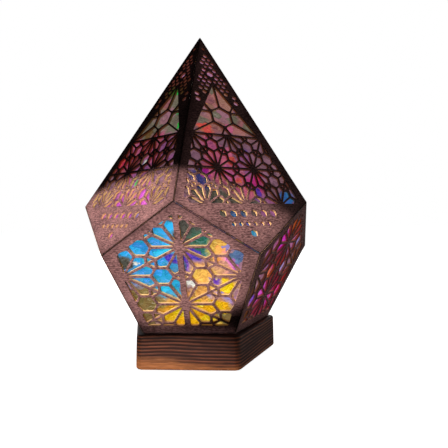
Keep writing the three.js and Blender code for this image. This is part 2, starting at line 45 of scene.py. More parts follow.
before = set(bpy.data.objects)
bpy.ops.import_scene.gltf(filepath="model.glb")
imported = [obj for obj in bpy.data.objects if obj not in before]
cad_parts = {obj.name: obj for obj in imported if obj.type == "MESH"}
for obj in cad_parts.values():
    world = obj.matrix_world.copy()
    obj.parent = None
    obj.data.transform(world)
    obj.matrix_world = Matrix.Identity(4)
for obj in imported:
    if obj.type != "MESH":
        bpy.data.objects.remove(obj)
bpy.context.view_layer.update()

# ---- the twelve-sided form, in metres, worked out from the frame ----
MM = 0.001
SIDES = 5
STEP = 2 * math.pi / SIDES
PHI = (1 + math.sqrt(5)) / 2
JOINT_GAP = 0.3 * MM
FLOOR_LOW, FLOOR_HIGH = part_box("shade_floor")
PLY = 2 * MM
EDGE = 2 * (FLOOR_HIGH.y + JOINT_GAP / 2) * math.sin(STEP / 2)
FACE_APOTHEM = EDGE / (2 * math.tan(STEP / 2))
FACE_RADIUS = EDGE / (2 * math.sin(STEP / 2))
WAIST_RADIUS = FACE_RADIUS * PHI
INRADIUS = FACE_APOTHEM * PHI
LEAN = math.atan(0.5)
SHADE_Z = FLOOR_LOW.z
KITE_SIDE = Vector((EDGE * PHI / 2, EDGE * math.sin(STEP / 2)))
KITE_H = math.hypot(WAIST_RADIUS, INRADIUS - FACE_RADIUS + INRADIUS * math.sqrt(5))
PLACE = "panel_place"  # attribute with a point's place on its panel, in millimetres


# ---- sizes and colours that a user would change ----


def length_of(name, description, millimetres):
    metres = millimetres * MM
    return FloatProperty(name=name, description=description, default=metres, unit="LENGTH", precision=5)


def colour_of(name, description, colour):
    return FloatVectorProperty(
        name=name, description=description, default=colour, subtype="COLOR", size=3, min=0, max=1
    )


def power_of(name, description, watts):
    return FloatProperty(name=name, description=description, default=watts, unit="POWER")


class LanternFretwork(bpy.types.PropertyGroup):
    rim: length_of("Rim", "Plain wood left round each panel's windows", 6)
    lower_pitch: length_of("Lower pitch", "Rosette to rosette, up a lower panel", 41.5)
    lower_rosette: length_of("Lower rosette", "Height of a lower panel's lowest rosette", 22.5)
    lower_bar: length_of("Lower bar", "Width of a bar between two petals of a lower panel", 1.5)
    lower_spine: length_of("Lower spine", "Width of a lower panel's upright bar", 3.8)
    upper_pitch: length_of("Upper pitch", "Rosette to rosette, across an upper panel", 28)
    upper_rosette: length_of("Upper rosette", "Height of an upper panel's lowest rosettes", 34.5)
    upper_bar: length_of("Upper bar", "Width of a bar between two petals of an upper panel", 1.25)
    edge_round: length_of("Edge rounding", "Rounding of the cut edges", 0.2)
    lower_widen: FloatProperty(
        name="Lower widening", description="How much wider than regular the lower pattern is", default=1.06
    )
    upper_stretch: FloatProperty(
        name="Upper stretch", description="How much taller than regular the upper pattern is", default=1.15
    )


class LanternColours(bpy.types.PropertyGroup):
    walnut_dark: colour_of("Walnut, dark", "Dark streaks of the stained plywood", (0.075, 0.033, 0.032))
    walnut_light: colour_of("Walnut, light", "Light streaks of the stained plywood", (0.37, 0.175, 0.160))
    cut_wall: colour_of("Cut wall", "Bare wood in the cut walls of the windows", (0.76, 0.48, 0.20))
    cut_char: colour_of("Cut char", "Scorched glue line in the cut walls", (0.30, 0.13, 0.05))
    pine_dark: colour_of("Pine, dark", "Scorched soft wood between the growth rings", (0.026, 0.009, 0.006))
    pine_warm: colour_of("Pine, warm", "Hard growth rings of the scorched pine", (0.31, 0.078, 0.026))
    # Mixed in towards the bottom of the base, a little more on the left.
    pine_low_warm: colour_of("Pine, raw", "Pine that the flame hardly touched", (0.58, 0.19, 0.055))
    birch: colour_of("Birch", "Bare birch plywood", (0.62, 0.44, 0.26))
    # The film's glow is painted light: the lamp's light shining through the film, painted dimmer on the
    # upper panels.
    lower_glow: FloatProperty(name="Lower glow", description="Glow of the lower panels' film", default=0.95)
    upper_glow: FloatProperty(name="Upper glow", description="Glow of the upper panels' film", default=0.6)


class LanternStage(bpy.types.PropertyGroup):
    key_power: power_of("Key light", "Power of the narrow light on the front panel", 38)
    base_power: power_of("Base light", "Power of the low light on the base", 24)
    side_power: power_of("Side light", "Power of the low soft light on the right side", 3.5)
    back_power: power_of("Back lights", "Power of the two soft lights on the back and the left", 5)
    fill_power: power_of("Fill light", "Power of the wide soft light", 0.12)
    surround: FloatProperty(name="Surround", description="Strength of the light all round", default=0.012)


# ---- outlines and window patterns, in millimetres on the panel ----


def turned(point, angle):
    x, y = point
    return Vector((x * math.cos(angle) - y * math.sin(angle), x * math.sin(angle) + y * math.cos(angle)))


def crossing(p, a, q, b):
    """Where the line through p along angle a meets the line through q along angle b."""
    along = ((q[0] - p[0]) * math.sin(b) - (q[1] - p[1]) * math.cos(b)) / math.sin(b - a)
    return Vector((p[0] + along * math.cos(a), p[1] + along * math.sin(a)))


def hexagon(middle, radius):
    return [Vector(middle) + turned((radius, 0), (k + 0.5) * math.pi / 3) for k in range(6)]


def petal(pitch, half_bar, hexagon_radius):
    """A petal between the line to the next rosette and the line to the nearest hexagon."""
    to_hexagon = math.pi / 6
    edge_distance = hexagon_radius * math.cos(math.pi / 6) + 2 * half_bar
    on_edge = turned((pitch / math.sqrt(3), 0), to_hexagon) + turned((edge_distance, 0), 4 * math.pi / 3)
    shoulder = Vector((0.45 * pitch - 2.4 * half_bar, half_bar))
    upper_line = turned((0, -half_bar), to_hexagon)
    return [
        crossing((0, half_bar), 0, upper_line, to_hexagon),
        shoulder,
        crossing(shoulder, math.pi / 3, on_edge, -math.pi / 6),
        crossing(upper_line, to_hexagon, on_edge, -math.pi / 6),
    ]


def midway_triangle(pitch, half_bar, hexagon_radius):
    """The small window on one side of the middle of the line between two rosettes."""
    middle = Vector((pitch / 2, 0))
    half_base = 0.05 * pitch + 0.1 * half_bar
    height = min(half_base * math.sqrt(3), pitch / 2 / math.sqrt(3) - hexagon_radius - 3 * half_bar)
    return [
        middle + Vector((-half_base, half_bar)),
        middle + Vector((half_base, half_bar)),
        middle + Vector((0, half_bar + height)),
    ]


def lattice(pitch, half_bar, reach):
    """The windows of a triangular lattice of rosettes that reaches a number of rosettes from its origin."""
    hexagon_radius = 0.15 * pitch
    sixth = [petal(pitch, half_bar, hexagon_radius), midway_triangle(pitch, half_bar, hexagon_radius)]
    windows = []
    for i in range(-reach, reach + 1):
        for j in range(-reach, reach + 1):
            rosette = Vector((pitch * (i + j / 2), pitch * j * math.sqrt(3) / 2))
            for k in range(6):
                angle = k * math.pi / 3
                shape = sixth[0]
                windows.append([rosette + turned(p, angle) for p in shape])
                windows.append([rosette + turned((p[0], -p[1]), angle) for p in reversed(shape)])
            for k in range(3):
                angle = k * math.pi / 3
                shape = sixth[1]
                windows.append([rosette + turned(p, angle) for p in shape])
                windows.append([rosette + turned((p[0], -p[1]), angle) for p in reversed(shape)])
            for angle in (math.pi / 6, math.pi / 2):
                windows.append(hexagon(rosette + turned((pitch / math.sqrt(3), 0), angle), hexagon_radius))
    return windows


def left_of(points, a, b):
    """The part of a convex outline on the left of the line from a to b."""

    def side(p):
        return (b[0] - a[0]) * (p[1] - a[1]) - (b[1] - a[1]) * (p[0] - a[0])

    kept = []
    for p, q in zip(points, points[1:] + points[:1]):
        sp, sq = side(p), side(q)
        if sp >= 0:
            kept.append(p)
        if sp * sq < 0:
            kept.append(p.lerp(q, sp / (sp - sq)))
    return kept


def inside(points, border):
    for a, b in zip(border, border[1:] + border[:1]):
        points = left_of(points, a, b)
    return points


def area(points):
    return sum(p.x * q.y - q.x * p.y for p, q in zip(points, points[1:] + points[:1])) / 2


def softened(points, radius):
    """A convex outline with each corner turned into an arc, a sharp tip more tightly."""
    arc_steps = 3
    tip_turn = math.radians(100)
    made = []
    for k, corner in enumerate(points):
        before = points[k - 1] - corner
        after = points[(k + 1) % len(points)] - corner
        turn = math.pi - before.angle(after)
        round_radius = radius * 0.12 if turn > tip_turn else radius
        trim = min(round_radius * math.tan(turn / 2), 0.45 * before.length, 0.45 * after.length)
        start = corner + before.normalized() * trim
        end = corner + after.normalized() * trim
        for step in range(arc_steps + 1):
            share = step / arc_steps
            made.append(start.lerp(corner, share).lerp(corner.lerp(end, share), share))
    return made


def finished_windows(windows, radius, least_area=1.2):
    """The windows worth cutting, with soft corners and no doubled points."""
    made = []
    for points in windows:
        points = [p for k, p in enumerate(points) if (p - points[k - 1]).length > 0.05]
        if len(points) > 2 and area(points) > least_area:
            made.append(softened(points, radius))
    return made


def drawn_in(outline, middle, distance):
    share = 1 - distance / (FACE_APOTHEM / MM)
    return [middle + (p - middle) * share for p in outline]


SIDE_X, SIDE_Y = KITE_SIDE / MM
LOWER_SIDE_Y = EDGE * math.cos(math.pi / 10) / MM
HALF_EDGE = EDGE / 2 / MM
LOWER_OUTLINE = [
    Vector((-HALF_EDGE, 0)),
    Vector((HALF_EDGE, 0)),
    Vector((SIDE_X, LOWER_SIDE_Y)),
    Vector((0, (FACE_APOTHEM + FACE_RADIUS) / MM)),
    Vector((-SIDE_X, LOWER_SIDE_Y)),
]
LOWER_MIDDLE = Vector((0, FACE_APOTHEM / MM))
UPPER_OUTLINE = [
    Vector((0, 0)),
    Vector((SIDE_X, SIDE_Y)),
    Vector((0, KITE_H / MM)),
    Vector((-SIDE_X, SIDE_Y)),
]
UPPER_MIDDLE = Vector((0, FACE_RADIUS / MM))


def widened(points, line, limit):
    """A window that runs up beside a side rosette, taken out to the pattern's straight side edge."""
    runs_up = [p for p in points if abs(abs(p.x) - line) < 1.2 and p.y > 45]
    if len(runs_up) < 2 or max(abs(p.x) for p in points) > line:
        return points
    highest = max(p.y for p in runs_up)
    return [
        Vector((math.copysign(limit, p.x), p.y)) if p in runs_up and p.y == highest else p
        for p in points
    ]


def lower_windows(fretwork):
    pitch = fretwork.lower_pitch / MM
    spine = fretwork.lower_spine / 2 / MM
    foot = fretwork.lower_rosette / MM
    limit_x = 40
    side_line = pitch * math.sqrt(3) / 2 * fretwork.lower_widen
    border = drawn_in(LOWER_OUTLINE, LOWER_MIDDLE, fretwork.rim / MM)
    sides = [Vector((-limit_x, -1)), Vector((limit_x, -1)), Vector((limit_x, 200)), Vector((-limit_x, 200))]
    windows = []
    for window in lattice(pitch, fretwork.lower_bar / 2 / MM, 2):
        points = [turned(p, math.pi / 2) for p in window]
        points = [Vector((p.x * fretwork.lower_widen, p.y + foot)) for p in points]
        if points and min(abs(p.x) for p in points) > side_line:
            continue
        points = inside(inside(widened(points, side_line, limit_x), border), sides)
        windows.append(left_of(points, (spine, 1), (spine, 0)))
        windows.append(left_of(points, (-spine, 0), (-spine, 1)))
    return finished_windows(windows, 1.7)


def upper_windows(fretwork):
    pitch = fretwork.upper_pitch / MM
    bar = fretwork.upper_bar / 2 / MM
    foot = fretwork.upper_rosette / MM
    crest = foot + pitch * math.sqrt(3) * fretwork.upper_stretch
    border = drawn_in(UPPER_OUTLINE, UPPER_MIDDLE, fretwork.rim / MM)
    windows = []
    for window in lattice(pitch, bar, 4):
        points = [Vector((p.x, p.y * fretwork.upper_stretch + foot)) for p in window]
        points = inside(points, border)
        points = left_of(points, (-1, foot + bar), (1, foot + bar))
        windows.append(left_of(points, (1, crest - bar), (-1, crest - bar)))
    crest_pitch = 2 * pitch - 1
    crest_stretch = 1.04
    triangle = [
        Vector((-crest_pitch / 2, crest)),
        Vector((crest_pitch / 2, crest)),
        Vector((0, crest + crest_pitch * crest_stretch * math.sqrt(3) / 2)),
    ]
    windows = finished_windows(windows, 0.8)
    pieces = []
    for window in lattice(crest_pitch, bar, 1):
        pieces.append(inside([Vector((p.x, p.y * crest_stretch)) + triangle[0] for p in window], triangle))
    windows += finished_windows(pieces, 2.2)
    windows += finished_windows([hexagon((7.5 * (k - 2.5), 28), 2.7) for k in range(6)], 0.8)
    windows += finished_windows([hexagon((0, 14), 2.6)], 0.8)
    windows += finished_windows([hexagon((5.25 * (k - 2.5), 20.5), 1.7) for k in range(6)], 3)
    edge = drawn_in(UPPER_OUTLINE, UPPER_MIDDLE, 2.6)
    for window in finished_windows(spire_windows(triangle[2]), 0.8):
        if clear_of(window, windows, 0.6) and max(outside(p, edge) for p in window) < 0:
            windows.append(window)
    return windows


def outside(point, outline):
    """How far a point stands outside a convex outline, and less than 0 inside it."""
    edges = zip(outline, outline[1:] + outline[:1])
    return max((point - a).cross(b - a) / (b - a).length for a, b in edges if (a - b).length > 0.01)


def wood_between(outline, points):
    """The widest strip that a side of one convex outline leaves before the points of another."""
    edges = [(a, b) for a, b in zip(outline, outline[1:] + outline[:1]) if (a - b).length > 0.01]
    return max(min((p - a).cross(b - a) for p in points) / (b - a).length for a, b in edges)


def clear_of(window, others, least):
    """Whether wood is left between a window and each of the others."""
    return all(max(wood_between(window, other), wood_between(other, window)) > least for other in others)


def spire_windows(tip):
    """The small windows beside and above the large triangle's tip."""
    windows = [hexagon((0, tip.y + 9.6), 3.1)]
    larger = [
        (15.6, -12.5, 2.1),
        (15.8, -17.8, 2.3),
        (13.4, -22.6, 1.7),
        (19.6, -23.4, 2.3),
        (19.4, -18, 1.2),
    ]
    windows += [hexagon((side * x, tip.y + y), r) for x, y, r in larger for side in (-1, 1)]
    pitch, rise, rows = 4.5, 3.9, 13
    lowest = tip.y - 10
    for row in range(rows):
        y = lowest + row * rise
        for place in range(-4, 5):
            x = (place + row % 2 / 2) * pitch
            windows.append(hexagon((x, y), 2.0 if (place + row) % 3 else 1.6))
    return windows


# ---- modelling helpers ----


def select_only(*pieces):
    if bpy.context.object and bpy.context.object.mode != "OBJECT":
        bpy.ops.object.mode_set(mode="OBJECT")
    bpy.ops.object.select_all(action="DESELECT")
    for piece in pieces:
        piece.select_set(True)
    bpy.context.view_layer.objects.active = pieces[0] if pieces else None


def added(name):
    """The object that an add operator has just made, under its own name."""
    piece = bpy.context.object
    piece.name = piece.data.name = name
    return piece


def apply_place(piece):
    select_only(piece)
    bpy.ops.object.transform_apply(location=True, rotation=True, scale=True)


def placed(piece, matrix):
    piece.matrix_world = matrix
    apply_place(piece)
    return piece


def copied(piece, name):
    twin = piece.copy()
    twin.data = piece.data.copy()
    twin.name = twin.data.name = name
    bpy.context.scene.collection.objects.link(twin)
    return twin


def finish_with(piece, kind, **settings):
    """Adds one modifier and applies it."""
    modifier = piece.modifiers.new(kind.title(), kind)
    for key, value in settings.items():
        setattr(modifier, key, value)
    select_only(piece)
    bpy.ops.object.modifier_apply(modifier=modifier.name)


def cut_away(piece, *tools):
    """Cuts each tool out of the piece, and removes the tool."""
    for tool in tools:
        finish_with(piece, "BOOLEAN", operation="DIFFERENCE", solver="EXACT", object=tool)
        bpy.data.objects.remove(tool)


def tidy_normals(piece, merge=1e-6):
    select_only(piece)
    bpy.ops.object.mode_set(mode="EDIT")
    bpy.ops.mesh.select_all(action="SELECT")
    bpy.ops.mesh.remove_doubles(threshold=merge)
    bpy.ops.mesh.normals_make_consistent(inside=False)
    bpy.ops.object.mode_set(mode="OBJECT")


def smooth(piece, angle=35):
    """Smooth shading that keeps flat faces flat."""
    select_only(piece)
    bpy.ops.object.shade_smooth_by_angle(angle=math.radians(angle))
    finish_with(piece, "WEIGHTED_NORMAL", keep_sharp=True)


def bevel_edges(piece, width, segments, chosen):
    """Bevels the edges that a test on (edge, mesh) picks."""
    select_only(piece)
    bpy.ops.object.mode_set(mode="EDIT")
    bpy.ops.mesh.select_mode(type="EDGE")
    bpy.ops.mesh.select_all(action="DESELECT")
    mesh = bmesh.from_edit_mesh(piece.data)
    for edge in mesh.edges:
        if chosen(edge):
            edge.select_set(True)
    bmesh.update_edit_mesh(piece.data)
    bpy.ops.mesh.bevel(offset=width, segments=segments, affect="EDGES")
    bpy.ops.object.mode_set(mode="OBJECT")


def is_sharp(edge):
    return len(edge.link_faces) == 2 and edge.calc_face_angle() > math.radians(50)


def rod(name, radius, low, high, at=(0, 0), sides=48, soften=0.0):
    """A round bar along Z, with its rims softened."""
    select_only()
    bpy.ops.mesh.primitive_cylinder_add(
        vertices=sides, radius=radius, depth=high - low, location=(at[0], at[1], (low + high) / 2)
    )
    piece = added(name)
    apply_place(piece)
    if soften:
        bevel_edges(piece, soften, 3, is_sharp)
    return piece


def block(name, low, high, soften=0.0, segments=3):
    """A block between two opposite corners, with its edges softened."""
    select_only()
    size = Vector(high) - Vector(low)
    bpy.ops.mesh.primitive_cube_add(size=1, location=(Vector(high) + Vector(low)) / 2, scale=size)
    piece = added(name)
    apply_place(piece)
    if soften:
        bevel_edges(piece, soften, segments, is_sharp)
    return piece


def spun(name, profile, sides=64):
    """A closed [radius, height] profile spun about Z."""
    select_only()
    bpy.ops.mesh.primitive_plane_add()
    piece = added(name)
    bpy.ops.object.mode_set(mode="EDIT")
    mesh = bmesh.from_edit_mesh(piece.data)
    bmesh.ops.delete(mesh, geom=mesh.verts[:], context="VERTS")
    points = [mesh.verts.new((r, 0, z)) for r, z in profile]
    for a, b in zip(points, points[1:] + points[:1]):
        if a.co.x > 0 or b.co.x > 0:
            mesh.edges.new((a, b))
    bmesh.update_edit_mesh(piece.data)
    bpy.ops.mesh.select_all(action="SELECT")
    bpy.ops.mesh.spin(steps=sides, angle=2 * math.pi, center=(0, 0, 0), axis=(0, 0, 1))
    bpy.ops.object.mode_set(mode="OBJECT")
    tidy_normals(piece, 1e-5)
    return piece


def around(radius, turn):
    return Vector((radius * math.sin(turn), -radius * math.cos(turn)))


CORNER_TURNS = [(k + 0.5) * STEP for k in range(SIDES)]


def pentagon(name, apothem, low, high, corner_radius, edge_round=0.0, edge_segments=4):
    """A pentagonal plate with a flat side at the front and rounded corners."""
    select_only()
    bpy.ops.mesh.primitive_circle_add(
        vertices=SIDES, radius=apothem / math.cos(STEP / 2), fill_type="NGON", location=(0, 0, low)
    )
    piece = added(name)
    apply_place(piece)
    bpy.ops.object.mode_set(mode="EDIT")
    bpy.ops.mesh.select_all(action="SELECT")
    trim = corner_radius * math.tan(STEP / 2)
    bpy.ops.mesh.bevel(offset=trim, segments=6, affect="VERTICES", clamp_overlap=True)
    bpy.ops.mesh.select_all(action="SELECT")
    bpy.ops.mesh.extrude_region_move(TRANSFORM_OT_translate={"value": (0, 0, high - low)})
    bpy.ops.object.mode_set(mode="OBJECT")
    tidy_normals(piece)
    if edge_round:
        bevel_edges(piece, edge_round, edge_segments, is_sharp)
    return piece


def give(piece, *looks):
    """Puts the looks in the piece's material slots."""
    piece.data.materials.clear()
    for look in looks:
        piece.data.materials.append(look)


def settle(piece, body, slot, *nodes):
    """Rides the finished piece on its body, in place of its solids."""
    if piece.type == "MESH" and not piece.data.materials:
        raise RuntimeError(f"{piece.name} has no material")
    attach(piece, body)
    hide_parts(*nodes)


# ---- shader maths ----


class Wire:
    """A shader socket that Python's arithmetic acts on."""

    def __init__(self, look, socket):
        self.look = look
        self.socket = socket

    def _maths(self, operation, first, second):
        settings = {"operation": operation}
        return self.look.node("ShaderNodeMath", settings, {0: first, 1: second})

    def __add__(self, other):
        return self._maths("ADD", self, other)

    def __radd__(self, other):
        return self._maths("ADD", other, self)

    def __sub__(self, other):
        return self._maths("SUBTRACT", self, other)

    def __rsub__(self, other):
        return self._maths("SUBTRACT", other, self)

    def __mul__(self, other):
        return self._maths("MULTIPLY", self, other)

    def __rmul__(self, other):
        return self._maths("MULTIPLY", other, self)


class Look:
    """A material, and the one way that nodes are added to it."""

    def __init__(self, name):
        self.material = bpy.data.materials.new(name)
        self.material.use_nodes = True
        self.tree = self.material.node_tree
        self.tree.nodes.clear()

    def node(self, kind, settings=None, inputs=None, output=0):
        """Adds a node: its settings first, then its sockets, and gives one of its outputs."""
        node = self.tree.nodes.new(kind)
        for key, value in (settings or {}).items():
            setattr(node, key, value)
        for key, value in (inputs or {}).items():
            socket = self._socket(node.inputs, key)
            if isinstance(value, Wire):
                self.tree.links.new(value.socket, socket)
            else:
                socket.default_value = value
        return Wire(self, self._socket(node.outputs, output)) if len(node.outputs) else None

    @staticmethod
    def _socket(sockets, key):
        if isinstance(key, int):
            return sockets[key]
        return next((s for s in sockets if s.identifier == key), None) or sockets[key]

    def mix(self, factor, first, second, blend="MIX"):
        inputs = {"Factor_Float": factor, "A_Color": full(first), "B_Color": full(second)}
        settings = {"data_type": "RGBA", "blend_type": blend, "clamp_factor": True}
        return self.node("ShaderNodeMix", settings, inputs, "Result_Color")

    def between(self, value, low, high, to_low=0.0, to_high=1.0):
        """A smooth step of the value from low to high."""
        inputs = {"Value": value, "From Min": low, "From Max": high, "To Min": to_low, "To Max": to_high}
        return self.node("ShaderNodeMapRange", {"interpolation_type": "SMOOTHSTEP"}, inputs)

    def vector(self, operation, first, second, output=0):
        return self.node("ShaderNodeVectorMath", {"operation": operation}, {0: first, 1: second}, output)

    def place(self):
        """Object coordinates in millimetres."""
        at = self.node("ShaderNodeTexCoord", output="Object")
        return self.vector("MULTIPLY", at, (1000, 1000, 1000))

    def panel_place(self):
        return self.node("ShaderNodeAttribute", {"attribute_name": PLACE}, output="Vector")

    def noise(self, at, scale, detail=3, rough=0.55, output="Fac"):
        inputs = {"Vector": at, "Scale": scale, "Detail": detail, "Roughness": rough}
        return self.node("ShaderNodeTexNoise", {}, inputs, output)

    def part(self, at, axis):
        return self.node("ShaderNodeSeparateXYZ", {}, {"Vector": at}, axis)

    def bump(self, height, strength, distance):
        inputs = {"Height": height, "Strength": strength, "Distance": distance}
        return self.node("ShaderNodeBump", {}, inputs)

    def surface(self, **sockets):
        """Ends the material in one Principled shader, with sockets named in words joined by underscores."""
        inputs = {key.replace("_", " "): value for key, value in sockets.items()}
        shader = self.node("ShaderNodeBsdfPrincipled", {}, inputs)
        self.node("ShaderNodeOutputMaterial", {}, {"Surface": shader})
        return self.material


def full(colour):
    """A colour as four values, and a wire as it is."""
    return colour if isinstance(colour, Wire) else (*colour[:3], 1)


# ---- finishes ----


def rim_gap(look, at, outline):
    """How far a point of a panel is from the nearest side of its outline, in millimetres."""
    gap = None
    for a, b in zip(outline, outline[1:] + outline[:1]):
        outward = Vector(((b - a).y, -(b - a).x, 0)).normalized()
        side = outward.dot(Vector((a.x, a.y, 0))) - look.vector("DOT_PRODUCT", at, tuple(outward), "Value")
        if gap is None:
            gap = side
        else:
            gap = look.node("ShaderNodeMath", {"operation": "MINIMUM"}, {0: gap, 1: side})
    return gap


def walnut_face(name, colours, outline):
    look = Look(name)
    at = look.panel_place()
    along = look.vector("MULTIPLY", at, (0.16, 1.3, 1.0))
    streaks = look.noise(along, 1.0, 6, 0.65)
    clouds = look.noise(at, 0.06, 3)
    pores = look.noise(look.vector("MULTIPLY", at, (0.55, 4.2, 1.0)), 1.0, 2, 0.5)
    pore_mask = look.between(pores, 0.36, 0.44, 1, 0)
    mottle = look.noise(look.vector("MULTIPLY", at, (0.5, 1.1, 1.0)), 1.0, 3, 0.7)
    shade = look.between(streaks * 0.3 + mottle * 0.5 + clouds * 0.2, 0.41, 0.6)
    tone = look.mix(shade, colours.walnut_dark, colours.walnut_light)
    tone = look.mix(pore_mask * 0.6, tone, colours.walnut_dark)
    gap = rim_gap(look, at, outline)
    # Painted shade: the face is darker towards the panel's border, where the panels meet.
    tone = look.mix(look.between(gap + clouds * 5, 8.0, 2.5, 0.0, 0.5), tone, colours.walnut_dark)
    # A near-black line along the very edge: partly the charred cut edge, partly painted shade in the seams
    # between panels.
    tone = look.mix(look.between(gap + mottle * 0.6, 1.3, 0.7, 0.0, 0.9), tone, (0.012, 0.007, 0.006))
    height = streaks * 0.5 - pore_mask * 0.5
    return look.surface(
        Base_Color=tone,
        Roughness=look.between(streaks, 0.2, 0.8, 0.78, 0.62),
        Normal=look.bump(height, 0.35, 0.00015),
        Specular_IOR_Level=0.1,
    )


def cut_wall(colours):
    look = Look("cut_wall")
    at = look.panel_place()
    depth = look.part(at, "Z")
    veneer = look.noise(look.vector("MULTIPLY", at, (0.5, 0.5, 3.0)), 1.0, 2)
    layer = look.node("ShaderNodeMath", {"operation": "PINGPONG"}, {0: depth, 1: 0.5})
    glue = look.between(layer, 0.05, 0.0)
    tone = look.mix(look.between(veneer, 0.3, 0.7, 0.0, 0.55), colours.cut_wall, (0.62, 0.34, 0.12))
    tone = look.mix(glue * 0.6, tone, colours.cut_char)
    tone = look.mix(look.between(depth, -0.95, -0.35, 0.0, 0.85), tone, colours.cut_char)
    return look.surface(Base_Color=tone, Roughness=0.6, Normal=look.bump(veneer, 0.3, 0.0001))


FILM_COLOURS = {
    "cyan": (0.03, 0.40, 0.82),
    "blue": (0.05, 0.14, 0.55),
    "steel": (0.09, 0.16, 0.30),
    "teal": (0.03, 0.17, 0.13),
    "green": (0.03, 0.75, 0.22),
    "smoke": (0.10, 0.095, 0.075),
    "violet": (0.16, 0.05, 0.46),
    "lilac": (0.42, 0.28, 0.62),
    "amber": (0.88, 0.52, 0.09),
    "yellow": (0.90, 0.56, 0.006),
    "peach": (0.85, 0.42, 0.27),
    "pink": (0.85, 0.12, 0.62),
    "magenta": (0.60, 0.03, 0.44),
    "crimson": (0.75, 0.05, 0.22),
    "red": (0.72, 0.07, 0.05),
    "mauve": (0.33, 0.16, 0.21),
    "indigo": (0.05, 0.05, 0.22),
    "rose": (0.66, 0.14, 0.25),
    "dusty": (0.44, 0.20, 0.24),
    "plum": (0.40, 0.13, 0.30),
    "hot_pink": (1.0, 0.16, 0.85),
    "vermilion": (0.95, 0.28, 0.10),
    "salmon": (0.56, 0.24, 0.20),
    "olive": (0.21, 0.15, 0.045),
    "stone": (0.27, 0.24, 0.17),
    "heather": (0.62, 0.27, 0.42),
    # white: painted highlights on the film.
    "white": (0.95, 0.95, 0.85),
}

# Where each colour of the film lies on its panel: colour, place in millimetres and reach.
FRONT_FILM = [
    ("smoke", (0, 70), 26),
    ("cyan", (-22, 56), 21),
    ("cyan", (-10, 78), 7),
    ("cyan", (-10, 34), 10),
    ("teal", (16, 66), 9),
    ("violet", (7, 53), 8),
    ("violet", (-6, 55), 4.5),
    ("amber", (26, 61), 9),
    ("peach", (29, 58), 4),
    ("lilac", (31, 63), 3),
    ("pink", (30, 52), 6),
    ("peach", (24, 46), 8),
    ("steel", (37, 57), 6),
    ("amber", (14, 41), 10),
    ("amber", (14, 30), 10),
    ("violet", (22, 40), 4),
    ("yellow", (28, 34), 7),
    ("white", (4.5, 36), 3.5),
    ("lilac", (20, 27), 5),
    ("lilac", (28, 24), 4),
    ("olive", (-28, 20), 15),
    ("smoke", (-37, 52), 6),
    ("white", (-30, 52), 2.8),
    ("yellow", (0, 12), 17),
    ("yellow", (19, 16), 10),
    ("olive", (28, 10), 7),
]
RIGHT_FILM = [
    ("magenta", (8, 14), 26),
    ("crimson", (24, 28), 13),
    ("plum", (-22, 52), 12),
    ("vermilion", (2, 76), 10),
    ("rose", (14, 70), 9),
    ("lilac", (29, 61), 6),
    ("magenta", (-9, 65), 8),
    ("plum", (18, 56), 10),
    ("green", (-30, 63), 3.5),
    ("cyan", (-29, 65), 2.5),
    ("violet", (-30, 51), 5),
    ("crimson", (0, 50), 9),
    ("vermilion", (-12, 41), 4),
    ("lilac", (18, 43), 6),
    ("lilac", (-16, 46), 3),
    ("violet", (10, 40), 4),
    ("violet", (-30, 41), 5),
    ("cyan", (-33, 35), 4),
    ("pink", (-9, 29), 8),
    ("violet", (-20, 24), 4),
    ("pink", (-12, 16), 6),
    ("pink", (9, 8), 6),
    ("lilac", (24, 16), 4),
    ("olive", (-29, 9), 6),
]
RIGHT_KITE_FILM = [
    ("blue", (-14, 22), 16),
    ("cyan", (-20, 28), 3),
    ("cyan", (0, 14), 3.5),
    ("plum", (24, 30), 17),
    ("smoke", (-20, 42), 16),
    ("smoke", (2, 40), 11),
    ("indigo", (-26, 53), 9),
    ("rose", (4, 58), 17),
    ("crimson", (15, 53), 7),
    ("mauve", (30, 50), 11),
    ("violet", (12, 45), 3.5),
    ("blue", (36, 40), 5),
    ("rose", (-10, 66), 16),
    ("magenta", (-22, 58), 4),
    ("mauve", (-28, 72), 7),
    ("plum", (10, 66), 8),
    ("mauve", (18, 80), 17),
    ("violet", (14, 80), 3.5),
    ("plum", (10, 74), 4),
    ("vermilion", (0, 71), 3.4),
    ("vermilion", (0, 53), 3.4),
    ("mauve", (-22, 84), 9),
    ("rose", (-14, 82), 7),
    ("mauve", (14, 88), 9),
    ("salmon", (-14, 102), 10),
    ("salmon", (14, 101), 10),
    ("salmon", (0, 106), 11),
    ("salmon", (0, 124), 13),
    ("dusty", (1, 109), 7),
    ("stone", (-15, 106), 5),
    ("stone", (-3, 111), 3.5),
    ("stone", (-2, 134), 4),
    ("stone", (11, 108), 6),
    ("stone", (20, 98), 5),
    ("vermilion", (-14, 97), 6),
    ("rose", (4, 98), 4),
    ("vermilion", (-9, 121), 3),
    ("heather", (0, 160), 21),
    ("heather", (-19, 124), 8),
    ("heather", (19, 124), 8),
]
LEFT_KITE_FILM = [
    ("hot_pink", (0, 32), 25),
    ("plum", (-24, 46), 8),
    ("hot_pink", (20, 36), 9),
    ("violet", (-26, 43), 4),
    ("lilac", (17, 28), 3.5),
    ("violet", (20, 53), 6),
    ("mauve", (26, 56), 8),
    ("rose", (-6, 78), 24),
    ("plum", (-2, 66), 10),
    ("red", (-30, 71), 8),
    ("plum", (27, 70), 5),
    ("plum", (16, 84), 9),
    ("green", (0, 52.5), 4.2),
    ("cyan", (0, 71), 3.2),
    ("white", (0, 70), 2),
    ("stone", (-16, 102), 11),
    ("stone", (16, 102), 11),
    ("stone", (0, 108), 12),
    ("stone", (0, 124), 13),
    ("olive", (-14, 98), 6),
    ("dusty", (0, 110), 7),
    ("salmon", (-6, 122), 5),
    ("green", (19, 100), 2.5),
    ("green", (12, 112), 3),
    ("green", (-2, 135), 4.5),
    ("heather", (0, 160), 21),
    ("mauve", (-19, 124), 8),
    ("mauve", (19, 124), 8),
]
